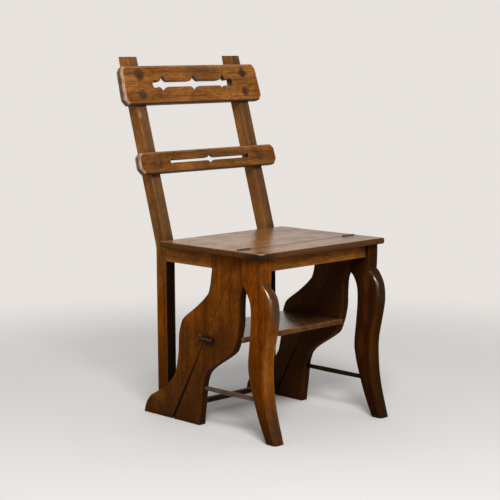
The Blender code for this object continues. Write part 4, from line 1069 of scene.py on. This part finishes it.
def pierced_board(size, centre, faces, chamfer, shares, slot, level):
    """A pierced board as rings that run round its slot and its outer edge together: back arris,
    outer edge, chamfer, front face, slot's arris, slot's wall and back again. A ring is its outline
    moved along the mitres, at its own depth. The slot is sawn more level than the board leans, so
    its outline is higher at the back, and its cusps are more open there."""
    corners = [(x * size[0] / 2, z * size[1] / 2) for x, z in shares]
    corners += [(-x, z) for x, z in reversed(corners)]
    half, rise, lobe = slot[:3]
    neck = half - lobe - math.sqrt(lobe ** 2 - rise ** 2)
    edge = spaced(slot_top(*slot), 0.004, False)
    tops, bottoms = (paired_edges(half_paths(corners, 0.003, top), edge, neck) for top in (True, False))
    rim = np.vstack((tops[0], bottoms[0][-2:0:-1]))[::-1]
    hole = np.vstack((tops[1], (bottoms[1] * (1, -1))[-2:0:-1]))[::-1]
    (front, back), arris, ease = faces, BACK_ARRIS, CHAMFER_EASE
    a = np.linspace(0, math.pi / 2, 5)
    rounds = [(arris * (1 - math.sin(t)), arris * (1 - math.cos(t))) for t in a]
    rim_rows = [(inset, back - depth, 1) for inset, depth in rounds]
    rim_rows += [(0, back - arris - 0.0004, 0.6), (0, (front + back) / 2, 0.1),
                 (0, front + chamfer + ease + 0.0004, 0.6), (0.15 * ease, front + chamfer + 0.3 * ease, 1),
                 (0.5 * ease, front + chamfer - 0.4 * ease, 1), (chamfer / 2, front + chamfer / 2, 0.55),
                 (chamfer - 0.4 * ease, front + 0.5 * ease, 1),
                 (chamfer + 0.3 * ease, front + 0.15 * ease, 1), (chamfer + ease, front, 1)]
    hole_rows = [(inset, front + depth, 1) for inset, depth in rounds]
    hole_rows += [(0, front + arris + 0.0003, 0.5), (0, back - arris - 0.0003, 0.5)]
    hole_rows += [(depth, back - inset, 1) for inset, depth in rounds]
    rim_in, rim_reach, _ = corner_table(rim)
    hole_in = corner_table(hole)[0]
    inset, depth, worn = np.array(rim_rows).T[:, :, None] * np.ones(len(rim))
    flat = rim + rim_in * np.minimum(inset, rim_reach)[..., None]
    outer = np.dstack((flat[..., 0], depth, centre + flat[..., 1]))
    bare = np.clip(1.3 * np.abs(rim_in[:, 0]) + 0.3 * (rim_in[:, 1] < 0), 0.06, 1)
    hole_inset, hole_depth, hole_worn = np.array(hole_rows).T[:, :, None] * np.ones(len(hole))
    share = ((hole_depth - front) / (back - front))[..., None]
    behind = opened_behind(hole, slot, neck) + (0, level)
    flat = hole - hole_in * hole_inset[..., None] + share * (behind - hole)
    inner = np.dstack((flat[..., 0], hole_depth, centre + flat[..., 1]))
    plain = np.zeros((4, len(rim)))
    return (np.vstack((outer, held(outer[-1], inner[0]), inner, held(inner[-1], outer[0]))),
            np.vstack((worn * bare, plain, hole_worn * 0.2, plain)))


def back_marks(distances, face):
    """Dark ends, undersides darkened with painted shade, dark soft stains round each plug that are partly
    painted shade of the gap round it, and a dark cloud above the slot.
    """
    def marks(p):
        p.tint(p.facing("X", 0.80, 0.96, True) * 0.8, (0.042, 0.022, 0.013))
        # Painted shade on the faces that look down.
        p.tint(p.facing("Z", -0.2, -0.5) * 0.85, (0.030, 0.012, 0.004))
        # Round each plug a dark halo: partly stain, partly painted shade of the gap round the plug.
        upper_left = up_the_back((-PLUG_X, face, distances[-1]))
        p.spot(upper_left, (PLUG_STAIN_AND_SHADE * 1.35,) * 3, 0.6, (0.050, 0.022, 0.010), 0.6, 0.3)
        for distance in distances:
            for _, sign in SIDES:
                p.spot(up_the_back((sign * PLUG_X, face, distance)), (PLUG_STAIN_AND_SHADE,) * 3, 0.55,
                       (0.055, 0.024, 0.009), 0.5, 0.55)
        above = up_the_back((0.03, face, distances[-1] + 0.006))
        p.spot(above, (0.12, 0.03, 0.022), 0.72, (0.075, 0.036, 0.014), 0.9, 0.0)
    return marks


for name, node_name, size, centre, faces, chamfer, shares, slot, level, distances, bright, turn in (
        ("pierced_crest", "crest_rail", (0.4522, 0.0955), 0.3922, CREST_FACES, 0.0038,
         ((0.945, 1.0), (0.985, 0.76), (1.0, -0.72), (0.955, -1.0)),
         (0.1325, 0.0066, 0.0102, 0.0222, 0.0138, (-0.0990, 0.0020, 0.0995)),
         0.0026, CREST_PLUGS, 1.14, 24),
        ("pierced_lower_rail", "back_rail", (0.4524, 0.0525), 0.200, LOWER_FACES, 0.0030,
         ((0.950, 1.0), (0.996, 0.62), (1.0, -0.48), (0.952, -1.0)),
         (0.130, 0.0035, 0.0060, 0.0128, 0.0115, (0.0,)),
         0.0014, LOWER_PLUGS, 0.80, 25)):
    shades = [tuple(np.array(shade) * bright) for shade in BACK_OAK_SHADES]
    look = oak(name.replace("_", " ") + " oak", shades, 0.40, 0.07, (0.56, 0.38, 0.27), rings=300.0,
               patch=0.28, edge=0.9, marks=back_marks(distances, faces[0]))
    rings, wear = pierced_board(size, centre, faces, chamfer, shares, slot, level)
    piece = plain_object(name, *skin(up_the_back(rings), True))
    set_grain(piece, rings.reshape(-1, 3)[:, [0, 2, 1]], wear, turn)
    finish_piece(piece, node_name, "rear_frame", look)


# Plugs: dark oak diamonds glued over the fixing screws, each a very low pyramid with rubbed edges,
# set by hand and so a little askew.

PLUG_HALF = 0.013
CREST_PLUG_OAK, LOWER_PLUG_OAK = (
    oak(f"plug oak {name}", shades, 0.45, 0.06, (0.13, 0.06, 0.02), rings=500.0, patch=0.4)
    for name, shades in (
        ("dark", ((0.020, 0.009, 0.005), (0.052, 0.023, 0.010), (0.095, 0.042, 0.018))),
        ("faint", ((0.045, 0.017, 0.005), (0.100, 0.038, 0.010), (0.155, 0.062, 0.017)))))


def plug_rings(x, distance, face, askew):
    """A diamond as rings: its outline shrinks to the middle while the face rises from the board by a
    little at its rim and by 0.8 mm in all at the middle."""
    corners = PLUG_HALF * np.array([(1, 0), (0, 1), (-1, 0), (0, -1)])
    outline = spaced(eased(corners, 0.0012, range(4), 3), 0.003)
    turned = outline @ ((math.cos(askew), math.sin(askew)), (-math.sin(askew), math.cos(askew)))
    shrink, rise, wear = np.array((
        (1.0, -0.005, 0), (1.0, 0.0, 0.8), (0.985, 0.00022, 1), (0.955, 0.00034, 0.8), (0.90, 0.00040, 0.2),
        (0.5, 0.00062, 0), (0.06, 0.0008, 0))).T[:, :, None] * np.ones(len(turned))
    flat = turned * shrink[..., None]
    return np.dstack((x + flat[..., 0], face - rise, distance + flat[..., 1])), wear


plugs = [(f"crest_plug_{where}_{side}", sign, distance, CREST_FACES[0], CREST_PLUG_OAK)
         for side, sign in SIDES for where, distance in zip(("upper", "lower"), CREST_PLUGS[::-1])]
plugs += [(f"back_rail_plug_{side}", sign, LOWER_PLUGS[0], LOWER_FACES[0], LOWER_PLUG_OAK)
          for side, sign in SIDES]
for count, (node_name, sign, distance, face, look) in enumerate(plugs):
    rings, wear = plug_rings(sign * PLUG_X, distance, face, 0.16 * math.sin(2.4 * count + 1))
    piece = plain_object("diamond_" + node_name, *skin(up_the_back(rings)))
    set_grain(piece, rings.reshape(-1, 3)[:, [2, 0, 1]], wear, 26 + count)
    finish_piece(piece, node_name, "rear_frame", look)


# Hook and eyes: bent from 2.5 mm iron wire, black with age and rubbed bright where the hook turns in
# its screw-eye and drops into the other.

WIRE = 0.00125
LATCH_X = -0.1945
PIVOT = (-0.02323 - POST_FACE_Y, 0.217)
EYE_RADIUS = 0.005
CATCH_RADIUS = 0.006
HOOK_LOOP = 0.0034
HOOK_REACH = 0.040
EYE_IRON = iron("eye iron", (0.006, 0.004, 0.003), (0.030, 0.025, 0.022), 0.42)
HOOK_IRON = iron("hook iron", (0.024, 0.019, 0.016), (0.24, 0.20, 0.17), 0.28)


def wire_piece(name, node_name, points, normal, body, look):
    """A bent wire through points that lie in one plane: round rings square to a smooth path, their
    radius falling to an eighth at both ends, as the root of 1 - t²."""
    path = smooth_curve(points, 5)
    length = path_lengths(path)[-1]
    places = np.linspace(0, length, int(length / 0.0006))
    path = along_path(path, places)
    end = 1 - np.clip(np.minimum(places, places[::-1]) / WIRE, 0, 1)
    sizes = WIRE * np.maximum(np.sqrt(1 - end ** 2), 0.12)
    ahead = np.gradient(path, axis=0)
    across = np.cross(ahead / np.linalg.norm(ahead, axis=1)[:, None], normal)
    angle = np.linspace(0, 2 * math.pi, 19)[:-1, None]
    ring = across[:, None] * np.cos(angle) + np.array(normal) * np.sin(angle)
    rings = path[:, None] + ring * sizes[:, None, None] + (0, POST_FACE_Y, 0)
    finish_piece(plain_object(name, *skin(rings)), node_name, body, look, 50)


def eye_outline(radius):
    """A screw-eye as (x, across) points: its shank, and then its loop, left open at the shank."""
    angle = np.radians(-24) - np.linspace(0, 1, 15) * (2 * math.pi - np.radians(63))
    shank = [(LATCH_X + out, 0) for out in (0.018, 0.012, 0.0085)]
    return np.vstack((shank, np.column_stack((LATCH_X + radius * np.cos(angle), radius * np.sin(angle)))))


bar_z = PIVOT[1] - HOOK_LOOP
tip_y = PIVOT[0] - HOOK_REACH
catch_y = tip_y + CATCH_RADIUS - 2 * WIRE - 0.0008
catch_z = bar_z - 2 * WIRE - 0.0003
wire_piece("screw_eye_rear", "latch_eye_rear",
           [(x, PIVOT[0], PIVOT[1] - EYE_RADIUS + z) for x, z in eye_outline(EYE_RADIUS)], (0, 1, 0),
           "rear_frame", EYE_IRON)
wire_piece("screw_eye_front", "latch_eye_front",
           [(x, catch_y + y, catch_z) for x, y in eye_outline(CATCH_RADIUS)], (0, 0, 1),
           "front_frame", EYE_IRON)
angle = (2 * math.pi - np.radians(84)) * np.linspace(1, 0, 14) - math.pi / 2
hook = [(PIVOT[0] + HOOK_LOOP * math.cos(t), PIVOT[1] + HOOK_LOOP * math.sin(t)) for t in angle]
hook += [(PIVOT[0] - HOOK_REACH * share, bar_z) for share in (0.25, 0.5, 0.75, 0.92)]
hook += [(tip_y + 0.0005, bar_z - 0.0004), (tip_y, bar_z - 0.0016), (tip_y, bar_z - 0.0032)]
wire_piece("iron_hook", "latch_hook", [(LATCH_X, y, z) for y, z in hook], (1, 0, 0), "latch_hook",
           HOOK_IRON)


# Floor, light and camera: a pale floor that fades into the pale background, one soft lamp high up at
# the front left, and a plain room light.

LAMP_SIZE = 1.35
LAMP_POWER = 130
LAMP_PLACE = (-1.9, -2.4, 3.0)
LAMP_AIM = (0, 0, 0.40)
CAMERA_PLACE = (-2.4624, -2.5416, 0.8782)
CAMERA_TURN = -0.768043
CAMERA_DOWN = 0.134558
CAMERA_ROLL = -0.006182
CAMERA_LENS = 106.551


def floor_look():
    """A pale matt floor with a faint mottle, that fades out into the background far away."""
    look, shader, place = new_look("pale floor")
    nodes = look.node_tree.nodes
    mottle = noise(place, (3.0,) * 3, 3.0)
    feed(shader["Base Color"], blended(mottle, (0.74, 0.715, 0.69), (0.77, 0.745, 0.72)))
    feed(shader["Roughness"], 0.9)
    feed(shader["Specular IOR Level"], 0.1)
    clear = field(place.tree, "ShaderNodeBsdfTransparent")
    far = ranged(length_of(place), 0.75, 1.9)
    feed(nodes["Material Output"].inputs["Surface"], field(place.tree, "ShaderNodeMixShader", {
        0: far, 1: Field(nodes["Principled BSDF"].outputs[0]), 2: clear}))
    return look


floor = plain_object("floor", [(x, y, 0) for x, y in ((-2, -2), (2, -2), (2, 2), (-2, 2))], [[0, 1, 2, 3]])
floor.data.materials.append(floor_look())

world = bpy.data.worlds.new("room")
bpy.context.scene.world = world
world.use_nodes = True
tree = world.node_tree
seen = node(tree, "ShaderNodeLightPath").outputs
shown = maths("ADD", Field(seen["Is Camera Ray"]), Field(seen["Is Glossy Ray"]), clamp=True)
shown = maths("ADD", shown, Field(seen["Is Transmission Ray"]), clamp=True)
room = tree.nodes["Background"]
feed(room.inputs["Color"], (0.98, 0.99, 1.0, 1))
feed(room.inputs["Strength"], 0.50)
pale = field(tree, "ShaderNodeBackground", {"Color": (0.80, 0.765, 0.735, 1), "Strength": 1.0})
feed(tree.nodes["World Output"].inputs["Surface"],
     field(tree, "ShaderNodeMixShader", {0: shown, 1: Field(room.outputs[0]), 2: pale}))

light = bpy.data.lights.new("soft_lamp", "AREA")
light.size = LAMP_SIZE
light.energy = LAMP_POWER
lamp = bpy.data.objects.new("soft_lamp", light)
bpy.context.scene.collection.objects.link(lamp)
lamp.location = LAMP_PLACE
lamp.rotation_euler = (Vector(LAMP_AIM) - lamp.location).to_track_quat("-Z", "Y").to_euler()

camera = bpy.data.objects.new("camera", bpy.data.cameras.new("camera"))
bpy.context.scene.collection.objects.link(camera)
bpy.context.scene.camera = camera
camera.data.sensor_width = 36
camera.data.lens = CAMERA_LENS
camera.data.clip_start = 0.1
camera.matrix_world = (
    Matrix.Translation(CAMERA_PLACE) @ Matrix.Rotation(CAMERA_TURN, 4, "Z")
    @ Matrix.Rotation(math.pi / 2 - CAMERA_DOWN, 4, "X") @ Matrix.Rotation(CAMERA_ROLL, 4, "Z"))
bpy.context.scene.view_settings.view_transform = "Standard"
